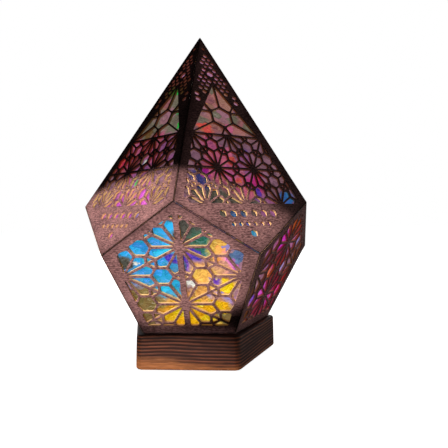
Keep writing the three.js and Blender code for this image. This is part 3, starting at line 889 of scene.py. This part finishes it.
LOWER_FILMS = [FRONT_FILM, RIGHT_FILM, FRONT_FILM, RIGHT_FILM, FRONT_FILM]
UPPER_FILMS = [RIGHT_KITE_FILM, LEFT_KITE_FILM, RIGHT_KITE_FILM, LEFT_KITE_FILM, LEFT_KITE_FILM]


def film_look(name, base, patches, glow):
    """Crumpled colour-shift film: soft patches of colour, broken by flat shards and fine strokes. Its glow
    is painted light: the lamp's light shining through the film.
    """
    look = Look(name)
    shard_scale = 0.13
    at = look.vector("MULTIPLY", look.panel_place(), (1, 1, 0))
    drift = look.noise(at, 0.11, 3, 0.6, "Color")
    push = look.vector("MULTIPLY", look.vector("SUBTRACT", drift, (0.5, 0.5, 0.5)), (14, 14, 0))
    warped = look.vector("ADD", at, push)
    shards = {"Vector": warped, "Scale": shard_scale}
    chance = look.node("ShaderNodeTexVoronoi", {}, shards, "Color")
    middle = look.node("ShaderNodeTexVoronoi", {}, shards, "Position")
    crease = look.node("ShaderNodeTexVoronoi", {"feature": "DISTANCE_TO_EDGE"}, shards, "Distance")
    halfway = {"Factor_Float": 0.35, "A_Vector": warped, "B_Vector": middle}
    spot = look.node("ShaderNodeMix", {"data_type": "VECTOR"}, halfway, "Result_Vector")
    colour = full(FILM_COLOURS[base])
    for colour_name, (x, y), reach in patches:
        away = look.vector("DISTANCE", spot, (x, y, 0), "Value")
        colour = look.mix(look.between(away, reach * 1.25, reach * 0.75), colour, FILM_COLOURS[colour_name])
    chance_hue = look.node("ShaderNodeSeparateColor", {}, {"Color": chance}, "Red")
    chance_value = look.node("ShaderNodeSeparateColor", {}, {"Color": chance}, "Green")
    slanted = {"Vector": warped, "Rotation": (0, 0, 0.9), "Scale": (0.22, 0.9, 1)}
    slant = look.node("ShaderNodeMapping", {}, slanted)
    strokes = look.noise(slant, 1.0, 4, 0.62)
    hue = 0.465 + chance_hue * 0.05 + (strokes - 0.5) * 0.1
    value = 0.68 + chance_value * 0.4 + (strokes - 0.5) * 1.6
    shaded = {"Hue": hue, "Value": value, "Color": colour}
    colour = look.node("ShaderNodeHueSaturation", {}, shaded, "Color")
    # Painted highlights: pale streaks screened over the film's colour.
    painted_highlight = look.between(strokes, 0.56, 0.72, 0.0, 0.3) * look.between(chance_hue, 0.3, 0.7)
    colour = look.mix(painted_highlight, colour, (0.75, 0.62, 0.72), "SCREEN")
    # Painted shade in the film's creases: dark lines along the shard edges.
    colour = look.mix(look.between(crease, 0.0, 0.04, 0.25, 0.0), colour, (0.01, 0.008, 0.015))
    return look.surface(
        Base_Color=look.mix(0.85, colour, (0.0, 0.0, 0.0)),
        # Painted glow: the emission stands in for the lamp's light shining through the film.
        Emission_Color=colour,
        Emission_Strength=glow,
        Roughness=look.between(strokes, 0.3, 0.7, 0.2, 0.38),
        Coat_Weight=0.5,
        Coat_Roughness=0.12,
        Normal=look.bump(strokes, 0.5, 0.0006),
    )


def scorched_pine(colours):
    look = Look("scorched_pine")
    at = look.place()
    sway = look.noise(look.vector("MULTIPLY", at, (0.012, 0.012, 0.03)), 1.0, 2)
    fine = look.noise(look.vector("MULTIPLY", at, (0.05, 0.05, 1.2)), 1.0, 4, 0.6)
    height = look.part(at, "Z")
    bow = look.vector("LENGTH", look.vector("MULTIPLY", at, (0.02, 0.014, 0)), (0, 0, 0), "Value")
    rings = height * 0.5 + sway * 2.4 + bow * 0.7 + fine * 0.4
    wave = look.node("ShaderNodeMath", {"operation": "FRACT"}, {0: rings})
    ridge = look.between(wave, 0.3, 0.8) * look.between(wave, 1.0, 0.9)
    scorch = look.noise(look.vector("MULTIPLY", at, (0.02, 0.02, 0.12)), 1.0, 4, 0.6)
    tone = look.mix(ridge * look.between(scorch, 0.3, 0.66, 0.2, 1.0), colours.pine_dark, colours.pine_warm)
    # Lighter, warmer pine towards the bottom of the base, a little more on the left.
    side = look.part(at, "X") * 0.07 + height + (scorch - 0.5) * 14
    tone = look.mix(look.between(side, 9.0, 2.0) * 0.75, tone, colours.pine_low_warm)
    grain = look.noise(look.vector("MULTIPLY", at, (0.12, 0.12, 3.5)), 1.0, 3, 0.6)
    tone = look.mix(look.between(grain, 0.35, 0.7, 0.55, 0.0), tone, colours.pine_dark)
    return look.surface(
        Base_Color=tone,
        Roughness=look.between(ridge, 0.0, 1.0, 0.75, 0.5),
        Specular_IOR_Level=0.2,
        Normal=look.bump(ridge + grain * 0.4, 0.6, 0.0003),
    )


def plain_wood(name, tone, streak):
    look = Look(name)
    at = look.place()
    grain = look.noise(look.vector("MULTIPLY", at, (0.08, 0.9, 2.0)), 1.0, 4, 0.6)
    flecks = look.noise(look.vector("MULTIPLY", at, (0.4, 4.0, 4.0)), 1.0, 2)
    colour = look.mix(look.between(grain, 0.3, 0.7, 0.0, 0.7), tone, streak)
    colour = look.mix(look.between(flecks, 0.62, 0.7, 0.0, 0.4), colour, streak)
    return look.surface(Base_Color=colour, Roughness=0.68, Normal=look.bump(grain, 0.3, 0.0001))


def moulded(name, tone, roughness=0.45):
    look = Look(name)
    at = look.place()
    grain = look.noise(at, 2.4, 2)
    cloud = look.noise(at, 0.15, 2)
    colour = look.mix(look.between(cloud, 0.3, 0.7, 0.0, 0.25), tone, tuple(c * 0.7 for c in tone))
    return look.surface(
        Base_Color=colour,
        Roughness=look.between(grain, 0.3, 0.7, roughness - 0.08, roughness + 0.08),
        Normal=look.bump(grain, 0.2, 0.00005),
    )


def metal(name, tone, roughness):
    look = Look(name)
    at = look.place()
    ring = look.vector("LENGTH", look.vector("MULTIPLY", at, (1, 1, 0)), (0, 0, 0), "Value")
    turning = {"W": ring, "Scale": 5.0, "Detail": 2.0}
    lines = look.node("ShaderNodeTexNoise", {"noise_dimensions": "1D"}, turning, "Fac")
    smudge = look.noise(at, 0.2, 3)
    return look.surface(
        Base_Color=look.mix(look.between(smudge, 0.35, 0.7, 0.0, 0.3), tone, tuple(c * 0.75 for c in tone)),
        Metallic=1.0,
        Roughness=look.between(lines, 0.3, 0.7, roughness - 0.07, roughness + 0.09),
        Normal=look.bump(lines, 0.25, 0.00003),
    )


def felt_look():
    look = Look("felt")
    at = look.place()
    fibres = look.noise(at, 3.0, 5, 0.7)
    colour = look.mix(fibres, (0.01, 0.01, 0.01), (0.05, 0.047, 0.045))
    return look.surface(
        Base_Color=colour, Roughness=0.95, Sheen_Weight=0.4, Normal=look.bump(fibres, 0.8, 0.0003)
    )


def board_look(name, tone, trace):
    look = Look(name)
    at = look.place()
    lines = look.noise(look.vector("MULTIPLY", at, (1.0, 0.25, 0)), 1.0, 2)
    mask = look.between(lines, 0.5, 0.53)
    colour = look.mix(mask * 0.8, tone, trace)
    normal = look.bump(mask, 0.3, 0.00005)
    return look.surface(Base_Color=colour, Roughness=0.35, Normal=normal, Coat_Weight=0.3)


def phosphor_look():
    look = Look("phosphor")
    at = look.place()
    grain = look.noise(at, 3.0, 3)
    return look.surface(
        Base_Color=look.mix(grain, (0.8, 0.55, 0.08), (0.95, 0.75, 0.2)),
        Emission_Color=look.mix(grain, (1.0, 0.78, 0.42), (1.0, 0.9, 0.62)),
        Emission_Strength=6.0,
        Roughness=0.6,
    )


def clear_look():
    look = Look("clear_lens")
    at = look.place()
    haze = look.noise(at, 0.6, 3)
    return look.surface(
        Base_Color=(0.95, 0.98, 1.0, 1),
        Roughness=look.between(haze, 0.3, 0.7, 0.02, 0.08),
        Transmission_Weight=1.0,
        IOR=1.49,
    )


def foil_look():
    look = Look("pouch_foil")
    at = look.place()
    folds = look.noise(look.vector("MULTIPLY", at, (0.12, 0.12, 0.4)), 1.0, 4, 0.6)
    return look.surface(
        Base_Color=look.mix(folds, (0.5, 0.52, 0.54), (0.72, 0.74, 0.76)),
        Metallic=0.9,
        Roughness=look.between(folds, 0.3, 0.7, 0.25, 0.42),
        Normal=look.bump(folds, 0.6, 0.0005),
    )


LOOKS = {}


def build_looks():
    colours = bpy.context.scene.lantern_colours
    LOOKS["walnut_lower"] = walnut_face("walnut_lower", colours, LOWER_OUTLINE)
    LOOKS["walnut_upper"] = walnut_face("walnut_upper", colours, UPPER_OUTLINE)
    LOOKS["cut_wall"] = cut_wall(colours)
    LOOKS["pine"] = scorched_pine(colours)
    LOOKS["floor_wood"] = plain_wood("walnut_floor", colours.walnut_light, colours.walnut_dark)
    LOOKS["birch"] = plain_wood("birch_ply", colours.birch, (0.42, 0.27, 0.13))
    LOOKS["beech"] = plain_wood("beech", (0.60, 0.37, 0.19), (0.40, 0.21, 0.09))
    LOOKS["black"] = moulded("black_plastic", (0.012, 0.012, 0.014))
    LOOKS["white"] = moulded("white_plastic", (0.78, 0.78, 0.74), 0.35)
    LOOKS["red"] = moulded("red_insulation", (0.42, 0.02, 0.02))
    LOOKS["aluminium"] = metal("turned_aluminium", (0.82, 0.83, 0.84), 0.3)
    LOOKS["steel"] = metal("zinc_steel", (0.6, 0.6, 0.62), 0.28)
    LOOKS["felt"] = felt_look()
    LOOKS["green_board"] = board_look("green_board", (0.01, 0.09, 0.035), (0.03, 0.18, 0.07))
    LOOKS["white_board"] = board_look("white_board", (0.80, 0.80, 0.76), (0.62, 0.62, 0.58))
    LOOKS["phosphor"] = phosphor_look()
    LOOKS["clear"] = clear_look()
    LOOKS["foil"] = foil_look()


# ---- the shade ----


def fretwork_panel(name, outline, middle, windows, look_name):
    """A mitred plywood panel with its windows cut, in its own frame."""
    edge_round = bpy.context.scene.lantern_fretwork.edge_round
    curve = bpy.data.curves.new(name, "CURVE")
    curve.dimensions = "2D"
    curve.fill_mode = "BOTH"
    curve.extrude = PLY / 2 - edge_round
    curve.bevel_depth = edge_round
    curve.bevel_resolution = 1
    curve.offset = -edge_round
    for points in [drawn_in(outline, middle, JOINT_GAP / 2 / MM), *windows]:
        spline = curve.splines.new("POLY")
        spline.points.add(len(points) - 1)
        spline.use_cyclic_u = True
        for at, point in zip(spline.points, points):
            at.co = (point.x * MM, point.y * MM, 0, 1)
    piece = bpy.data.objects.new(name, curve)
    bpy.context.scene.collection.objects.link(piece)
    select_only(piece)
    bpy.ops.object.convert(target="MESH")
    tidy_normals(piece)
    mitre(piece, outline, middle)
    mark_place(piece)
    give(piece, LOOKS[look_name], LOOKS["cut_wall"])
    mark_cut_walls(piece)
    return piece


def mitre(piece, outline, middle):
    """Sets the outer face at z = 0 and leans the outer walls towards the sphere's centre."""
    rim_depth = 2
    border = drawn_in(outline, middle, rim_depth)
    centre = middle * MM
    for vertex in piece.data.vertices:
        vertex.co.z -= PLY / 2
        at = vertex.co.xy / MM
        is_rim = any(
            (b - a).x * (at - a).y - (b - a).y * (at - a).x < 0
            for a, b in zip(border, border[1:] + border[:1])
        )
        if is_rim:
            share = (INRADIUS + vertex.co.z) / INRADIUS
            vertex.co.xy = centre + (vertex.co.xy - centre) * share


def mark_place(piece):
    mesh = piece.data
    place = mesh.attributes.new(PLACE, "FLOAT_VECTOR", "POINT")
    for vertex, value in zip(mesh.vertices, place.data):
        value.vector = vertex.co / MM


def mark_cut_walls(piece):
    """Gives the walls of the windows the second material."""
    for face in piece.data.polygons:
        face.material_index = 1 if abs(face.normal.z) < 0.3 else 0


def lower_place(k):
    return (
        Matrix.Rotation(k * STEP, 4, "Z")
        @ Matrix.Translation((0, -FACE_APOTHEM, SHADE_Z))
        @ Matrix.Rotation(math.pi / 2 + LEAN, 4, "X")
    )


def upper_place(k):
    return (
        Matrix.Rotation((k + 0.5) * STEP, 4, "Z")
        @ Matrix.Translation((0, -WAIST_RADIUS, SHADE_Z + FACE_RADIUS))
        @ Matrix.Rotation(math.pi / 2 - LEAN, 4, "X")
    )


def film_sheet(name, outline, middle):
    """A crumpled sheet of film behind a panel's windows, in the panel's frame."""
    overlap = 4
    spacing = 3.0
    width = 110
    border = drawn_in(outline, middle, overlap)
    height = max(p.y for p in border)
    select_only()
    bpy.ops.mesh.primitive_grid_add(
        x_subdivisions=round(width / spacing),
        y_subdivisions=round((height + 10) / spacing),
        size=MM,
        location=(0, height * MM / 2, 0),
    )
    piece = added(name)
    piece.scale = (width, height + 10, 1)
    apply_place(piece)
    for a, b in zip(border, border[1:] + border[:1]):
        outward = Vector(((b - a).y, -(b - a).x, 0)).normalized()
        bpy.ops.object.mode_set(mode="EDIT")
        bpy.ops.mesh.select_all(action="SELECT")
        bpy.ops.mesh.bisect(plane_co=(a.x * MM, a.y * MM, 0), plane_no=outward, clear_outer=True)
        bpy.ops.object.mode_set(mode="OBJECT")
    folds = bpy.data.textures.new(name + "_folds", "VORONOI")
    folds.noise_scale = 0.011
    finish_with(piece, "DISPLACE", texture=folds, strength=0.8 * MM, direction="Z", texture_coords="LOCAL")
    finish_with(piece, "SOLIDIFY", thickness=0.12 * MM, offset=0)
    depth = -PLY - 0.55 * MM
    for vertex in piece.data.vertices:
        vertex.co.z = depth + max(-0.4 * MM, min(0.4 * MM, vertex.co.z))
    mark_place(piece)
    tidy_normals(piece)
    return piece


def settle_copies(master, place, looks, slot, label):
    """Copies a finished panel or film to all five sides."""
    for k in range(SIDES):
        node = f"{label}_{k + 1}"
        piece = placed(copied(master, f"{node}_fine"), place(k))
        if looks:
            give(piece, looks[k])
        settle(piece, "shade", slot, node)
    bpy.data.objects.remove(master)


class LANTERN_OT_lower_panels(bpy.types.Operator):
    """Cuts the five lower fretwork panels"""

    bl_idname = "lantern.lower_panels"
    bl_label = "Lower Panels"

    def execute(self, context):
        windows = lower_windows(context.scene.lantern_fretwork)
        master = fretwork_panel("lower_panel_master", LOWER_OUTLINE, LOWER_MIDDLE, windows, "walnut_lower")
        settle_copies(master, lower_place, None, "walnut_ply", "lower_panel")
        return {"FINISHED"}


class LANTERN_OT_upper_panels(bpy.types.Operator):
    """Cuts the five upper fretwork panels"""

    bl_idname = "lantern.upper_panels"
    bl_label = "Upper Panels"

    def execute(self, context):
        windows = upper_windows(context.scene.lantern_fretwork)
        master = fretwork_panel("upper_panel_master", UPPER_OUTLINE, UPPER_MIDDLE, windows, "walnut_upper")
        settle_copies(master, upper_place, None, "walnut_ply", "upper_panel")
        return {"FINISHED"}


class LANTERN_OT_films(bpy.types.Operator):
    """Lays the coloured film behind every panel"""

    bl_idname = "lantern.films"
    bl_label = "Films"

    def execute(self, context):
        colours = context.scene.lantern_colours
        lower, upper = [], []
        for k in range(SIDES):
            lower.append(film_look(f"lower_film_{k + 1}", "mauve", LOWER_FILMS[k], colours.lower_glow))
            upper.append(film_look(f"upper_film_{k + 1}", "mauve", UPPER_FILMS[k], colours.upper_glow))
        master = film_sheet("lower_film_master", LOWER_OUTLINE, LOWER_MIDDLE)
        settle_copies(master, lower_place, lower, "lower_film", "lower_film")
        master = film_sheet("upper_film_master", UPPER_OUTLINE, UPPER_MIDDLE)
        settle_copies(master, upper_place, upper, "upper_film", "upper_film")
        return {"FINISHED"}


# ---- the base and the lamp ----

BASE_LOW, BASE_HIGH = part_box("base_block")
BASE_APOTHEM = -BASE_LOW.y
FIT = 0.3 * MM
PORT_TURN = 3 * STEP
PORT_Z = BASE_LOW.z + 10.5 * MM
BUTTON_X = 10 * MM
SOCKET_X = -9 * MM
BAY_DEPTH = BASE_APOTHEM - 5.6 * MM
PORT = Matrix.Rotation(PORT_TURN, 4, "Z")


def port_rod(name, radius, inner, outer, sides=64, soften=0.0):
    """A round bar that points out of the face with the socket and the button."""
    piece = rod(name, radius, inner, outer, sides=sides, soften=soften)
    along = Matrix.Translation((BUTTON_X, 0, PORT_Z)) @ Matrix.Rotation(math.pi / 2, 4, "X")
    return placed(piece, PORT @ along)


def port_block(name, low, high, soften=0.0):
    return placed(block(name, low, high, soften), PORT)


def lamp_screw_places():
    return [around(25 * MM, k * 2 * math.pi / 3) for k in range(3)]


class LANTERN_OT_base_block(bpy.types.Operator):
    """Cuts the pine block, with its pocket, lamp recess and screw holes"""

    bl_idname = "lantern.base_block"
    bl_label = "Base Block"

    def execute(self, context):
        below, above = BASE_LOW.z - 2 * MM, BASE_HIGH.z + MM
        seat_top, pocket_top, lamp_seat = 4.3 * MM, 15 * MM, 19 * MM
        piece = pentagon("base_block_fine", BASE_APOTHEM, BASE_LOW.z, BASE_HIGH.z, 5 * MM, 1.6 * MM, 5)
        cut_away(
            piece,
            pentagon("cover_seat", BASE_APOTHEM - 5 * MM + FIT, below, seat_top, 4 * MM),
            rod("pocket", 34 * MM, below, pocket_top, sides=96),
            rod("lead_well", 22 * MM, below, above, sides=96),
            rod("lamp_recess", 30 * MM, lamp_seat, above, sides=96),
            port_block("bay", (-20 * MM, -BAY_DEPTH, below + 4 * MM), (20 * MM, -20 * MM, pocket_top)),
            port_block(
                "socket_slot",
                (SOCKET_X - 6.5 * MM, -60 * MM, PORT_Z - 3 * MM),
                (SOCKET_X + 6.5 * MM, -30 * MM, PORT_Z + 3.4 * MM),
                1.5 * MM,
            ),
            port_rod("button_hole", 5.2 * MM, 20 * MM, 60 * MM),
        )
        for k, turn in enumerate(CORNER_TURNS):
            cut_away(piece, rod("screw_hole", 1.6 * MM, 0, 13 * MM, around(45 * MM, turn), 20))
        for at in lamp_screw_places():
            cut_away(piece, rod("lamp_screw_hole", 1.5 * MM, pocket_top + 0.6 * MM, above, at, 20))
        for side in (-1, 1):
            at = (side * 37 * MM, 0)
            cut_away(piece, rod("dowel_hole", 2.3 * MM, BASE_HIGH.z - 7 * MM, above, at, 32))
        smooth(piece)
        give(piece, LOOKS["pine"])
        settle(piece, "base", "scorched_pine", "base_block")
        return {"FINISHED"}


class LANTERN_OT_feet_and_pins(bpy.types.Operator):
    """Makes the felt feet and the beech pins that locate the shade"""

    bl_idname = "lantern.feet_and_pins"
    bl_label = "Feet and Pins"

    def execute(self, context):
        self.copies("foot_pad", SIDES, 0.2 * MM, "felt")
        self.copies("locating_dowel", 2, 0.7 * MM, "beech")
        return {"FINISHED"}

    def copies(self, label, count, soften, finish):
        """Makes one round piece and copies it to each of its places."""
        low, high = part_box(f"{label}_1")
        master = rod(f"{label}_master", (high.y - low.y) / 2, low.z, high.z, sides=40, soften=soften)
        smooth(master)
        for k in range(count):
            node = f"{label}_{k + 1}"
            low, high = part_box(node)
            piece = copied(master, f"{node}_fine")
            placed(piece, Matrix.Translation(((low.x + high.x) / 2, (low.y + high.y) / 2, 0)))
            give(piece, LOOKS[finish])
            settle(piece, "base", finish, node)
        bpy.data.objects.remove(master)


class LANTERN_OT_lamp(bpy.types.Operator):
    """Spins the lamp's cup and the ring round its lens"""

    bl_idname = "lantern.lamp"
    bl_label = "Lamp"

    def execute(self, context):
        low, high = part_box("lamp_housing")
        radius, wall, floor = high.x, 1.5 * MM, 2 * MM
        cup = spun(
            "lamp_housing_fine",
            [
                (0, low.z),
                (radius - 0.5 * MM, low.z),
                (radius, low.z + 0.5 * MM),
                (radius, high.z - 0.5 * MM),
                (radius - 0.4 * MM, high.z),
                (radius - wall + 0.4 * MM, high.z),
                (radius - wall, high.z - 0.5 * MM),
                (radius - wall, low.z + floor),
                (0, low.z + floor),
            ],
            128,
        )
        cut_away(cup, rod("lead_hole", 3 * MM, 0, high.z, (0, 15 * MM), 32))
        for at in lamp_screw_places():
            cut_away(cup, rod("screw_hole", 1.5 * MM, 0, high.z, at, 24))
        smooth(cup)
        give(cup, LOOKS["aluminium"])
        settle(cup, "base", "aluminium", "lamp_housing")
        low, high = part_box("lens_ring")
        ring = spun(
            "lens_ring_fine",
            [
                (12.3 * MM, low.z),
                (high.x, low.z),
                (high.x, high.z - 0.3 * MM),
                (high.x - 0.3 * MM, high.z),
                (13.3 * MM, high.z),
                (12.9 * MM, high.z - 0.5 * MM),
            ],
            128,
        )
        smooth(ring)
        give(ring, LOOKS["black"])
        settle(ring, "base", "black_plastic", "lens_ring")
        return {"FINISHED"}


class LANTERN_OT_button(bpy.types.Operator):
    """Turns the push button's bezel and its dished cap"""

    bl_idname = "lantern.button"
    bl_label = "Push Button"

    def execute(self, context):
        face = BASE_APOTHEM
        along = PORT @ Matrix.Translation((BUTTON_X, 0, PORT_Z)) @ Matrix.Rotation(math.pi / 2, 4, "X")
        bezel = spun(
            "button_bezel_fine",
            [
                (4.15 * MM, BAY_DEPTH + 0.4 * MM),
                (4.9 * MM, BAY_DEPTH + 0.4 * MM),
                (4.9 * MM, face + 0.3 * MM),
                (6.1 * MM, face + 0.3 * MM),
                (6.2 * MM, face + 0.6 * MM),
                (5.7 * MM, face + 1.2 * MM),
                (5.0 * MM, face + 1.3 * MM),
                (4.15 * MM, face + 0.9 * MM),
            ],
        )
        placed(bezel, along)
        smooth(bezel)
        give(bezel, LOOKS["black"])
        settle(bezel, "base", "black_plastic", "button_bezel")
        cap = spun(
            "button_cap_fine",
            [
                (0, BAY_DEPTH - MM),
                (4.7 * MM, BAY_DEPTH - MM),
                (4.7 * MM, BAY_DEPTH),
                (3.8 * MM, BAY_DEPTH),
                (3.8 * MM, face + 1.4 * MM),
                (3.6 * MM, face + 1.7 * MM),
                (3.2 * MM, face + 1.8 * MM),
                (2.2 * MM, face + 1.6 * MM),
                (1.0 * MM, face + 1.45 * MM),
                (0, face + 1.4 * MM),
            ],
        )
        placed(cap, along)
        smooth(cap)
        give(cap, LOOKS["black"])
        settle(cap, "button", "black_plastic", "button_cap")
        return {"FINISHED"}


KEPT_SOLIDS = {
    "birch": ["base_cover"],
    "steel": ["cover_screw", "housing_screw", "board_screw", "charging_socket"],
    "floor_wood": ["shade_floor"],
    "white_board": ["led_board"],
    "phosphor": ["led_emitter"],
    "clear": ["lamp_lens"],
    "foil": ["battery_cell"],
    "green_board": ["control_board"],
    "black": ["socket_tongue", "switch_body", "lamp_lead_black", "cell_lead_black"],
    "white": ["switch_plunger"],
    "red": ["lamp_lead_red", "cell_lead_red"],
}


class LANTERN_OT_kept_solids(bpy.types.Operator):
    """Finishes the solids that keep their own shape"""

    bl_idname = "lantern.kept_solids"
    bl_label = "Kept Solids"

    def execute(self, context):
        for look_name, starts in KEPT_SOLIDS.items():
            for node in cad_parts:
                if any(node.startswith(start) for start in starts):
                    for slot in bpy.data.objects[node].material_slots:
                        slot.material = LOOKS[look_name]
        return {"FINISHED"}


# ---- the stage ----


def area_light(name, at, target, size, power):
    light = bpy.data.lights.new(name, "AREA")
    light.shape = "RECTANGLE"
    light.size, light.size_y = size
    light.energy = power
    lamp = bpy.data.objects.new(name, light)
    lamp.location = at
    lamp.rotation_euler = (Vector(target) - Vector(at)).to_track_quat("-Z", "Y").to_euler()
    bpy.context.scene.collection.objects.link(lamp)


def spot_light(name, at, target, cone, blend, power, radius, widen=1.0):
    light = bpy.data.lights.new(name, "SPOT")
    light.energy = power
    light.spot_size = cone
    light.spot_blend = blend
    light.shadow_soft_size = radius
    lamp = bpy.data.objects.new(name, light)
    lamp.scale = (widen, 1, 1)
    lamp.location = at
    lamp.rotation_euler = (Vector(target) - Vector(at)).to_track_quat("-Z", "Y").to_euler()
    bpy.context.scene.collection.objects.link(lamp)
    return lamp


def studio_world(strength):
    """A white surround that is dim as a light."""
    world = bpy.data.worlds.new("studio_surround")
    bpy.context.scene.world = world
    world.use_nodes = True
    tree = world.node_tree
    tree.nodes.clear()
    seen = tree.nodes.new("ShaderNodeBackground")
    lit = tree.nodes.new("ShaderNodeBackground")
    lit.inputs["Strength"].default_value = strength
    for background in (seen, lit):
        background.inputs["Color"].default_value = (1, 1, 1, 1)
    path = tree.nodes.new("ShaderNodeLightPath")
    mix = tree.nodes.new("ShaderNodeMixShader")
    output = tree.nodes.new("ShaderNodeOutputWorld")
    tree.links.new(path.outputs["Is Camera Ray"], mix.inputs[0])
    tree.links.new(lit.outputs[0], mix.inputs[1])
    tree.links.new(seen.outputs[0], mix.inputs[2])
    tree.links.new(mix.outputs[0], output.inputs["Surface"])


def floor_look():
    look = Look("studio_floor")
    at = look.place()
    speck = look.noise(at, 0.02, 2)
    return look.surface(
        Base_Color=look.mix(speck, (0.92, 0.92, 0.92), (0.94, 0.94, 0.94)),
        Roughness=0.9,
        Emission_Color=(1, 1, 1, 1),
        Emission_Strength=1.0,
    )


class LANTERN_OT_stage(bpy.types.Operator):
    """Sets the floor, the lights and the camera"""

    bl_idname = "lantern.stage"
    bl_label = "Stage"

    def execute(self, context):
        stage = context.scene.lantern_stage
        select_only()
        bpy.ops.mesh.primitive_plane_add(size=12)
        floor = added("studio_floor")
        give(floor, floor_look())
        floor.visible_diffuse = False
        floor.visible_glossy = False
        studio_world(stage.surround)
        front = (-0.0382, -0.0534, 0.082)
        cone = math.radians(7.85)
        key = spot_light("key", (-0.20, -0.70, 0.28), front, cone, 0.2, stage.key_power, 0.004, 2.31)
        key.rotation_euler.rotate_axis("Z", math.radians(4.5))
        foot = (-0.006, -0.045, -0.010)
        cone = math.radians(6.4)
        spot_light("base_key", (-0.25, -0.7, 0.012), foot, cone, 0.6, stage.base_power, 0.01, 1.7)
        area_light("soft_fill", (-0.2, -1.2, 0.5), (0, 0, 0.1), (0.8, 0.5), stage.fill_power)
        area_light("side_fill", (0.85, 0.30, 0.04), (0, 0, 0.02), (0.3, 0.2), stage.side_power)
        area_light("back_fill", (0.1, 1.1, 0.5), (0, 0, 0.1), (0.8, 0.6), stage.back_power)
        area_light("left_fill", (-0.8, 1.0, 0.4), (0, 0, 0.1), (0.6, 0.5), stage.back_power)
        camera = bpy.data.cameras.new("camera")
        camera.lens = 35.79
        camera.shift_x = -0.0515
        camera.shift_y = -0.1354
        view = bpy.data.objects.new("camera", camera)
        view.location = (0.0660, -0.3444, 0.0955)
        view.rotation_euler = [math.radians(a) for a in (97.516, 1.003, 4.940)]
        context.scene.collection.objects.link(view)
        context.scene.camera = view
        context.scene.view_settings.view_transform = "Standard"
        return {"FINISHED"}


# ---- panel and registration ----

MAKERS = (
    LANTERN_OT_lower_panels,
    LANTERN_OT_upper_panels,
    LANTERN_OT_films,
    LANTERN_OT_base_block,
    LANTERN_OT_feet_and_pins,
    LANTERN_OT_lamp,
    LANTERN_OT_button,
    LANTERN_OT_kept_solids,
    LANTERN_OT_stage,
)


class LANTERN_PT_sidebar(bpy.types.Panel):
    bl_label = "Fretwork Lantern"
    bl_idname = "LANTERN_PT_sidebar"
    bl_space_type = "VIEW_3D"
    bl_region_type = "UI"
    bl_category = "Lantern"

    def draw(self, context):
        for maker in MAKERS:
            self.layout.operator(maker.bl_idname)


CLASSES = (LanternFretwork, LanternColours, LanternStage, *MAKERS, LANTERN_PT_sidebar)


def register():
    for cls in CLASSES:
        bpy.utils.register_class(cls)
    bpy.types.Scene.lantern_fretwork = PointerProperty(type=LanternFretwork)
    bpy.types.Scene.lantern_colours = PointerProperty(type=LanternColours)
    bpy.types.Scene.lantern_stage = PointerProperty(type=LanternStage)


def unregister():
    del bpy.types.Scene.lantern_stage
    del bpy.types.Scene.lantern_colours
    del bpy.types.Scene.lantern_fretwork
    for cls in reversed(CLASSES):
        bpy.utils.unregister_class(cls)


def main():
    register()
    build_looks()
    bpy.ops.lantern.stage()
    bpy.ops.lantern.lower_panels()
    bpy.ops.lantern.upper_panels()
    bpy.ops.lantern.films()
    bpy.ops.lantern.base_block()
    bpy.ops.lantern.feet_and_pins()
    bpy.ops.lantern.lamp()
    bpy.ops.lantern.button()
    bpy.ops.lantern.kept_solids()


if __name__ == "__main__":
    main()
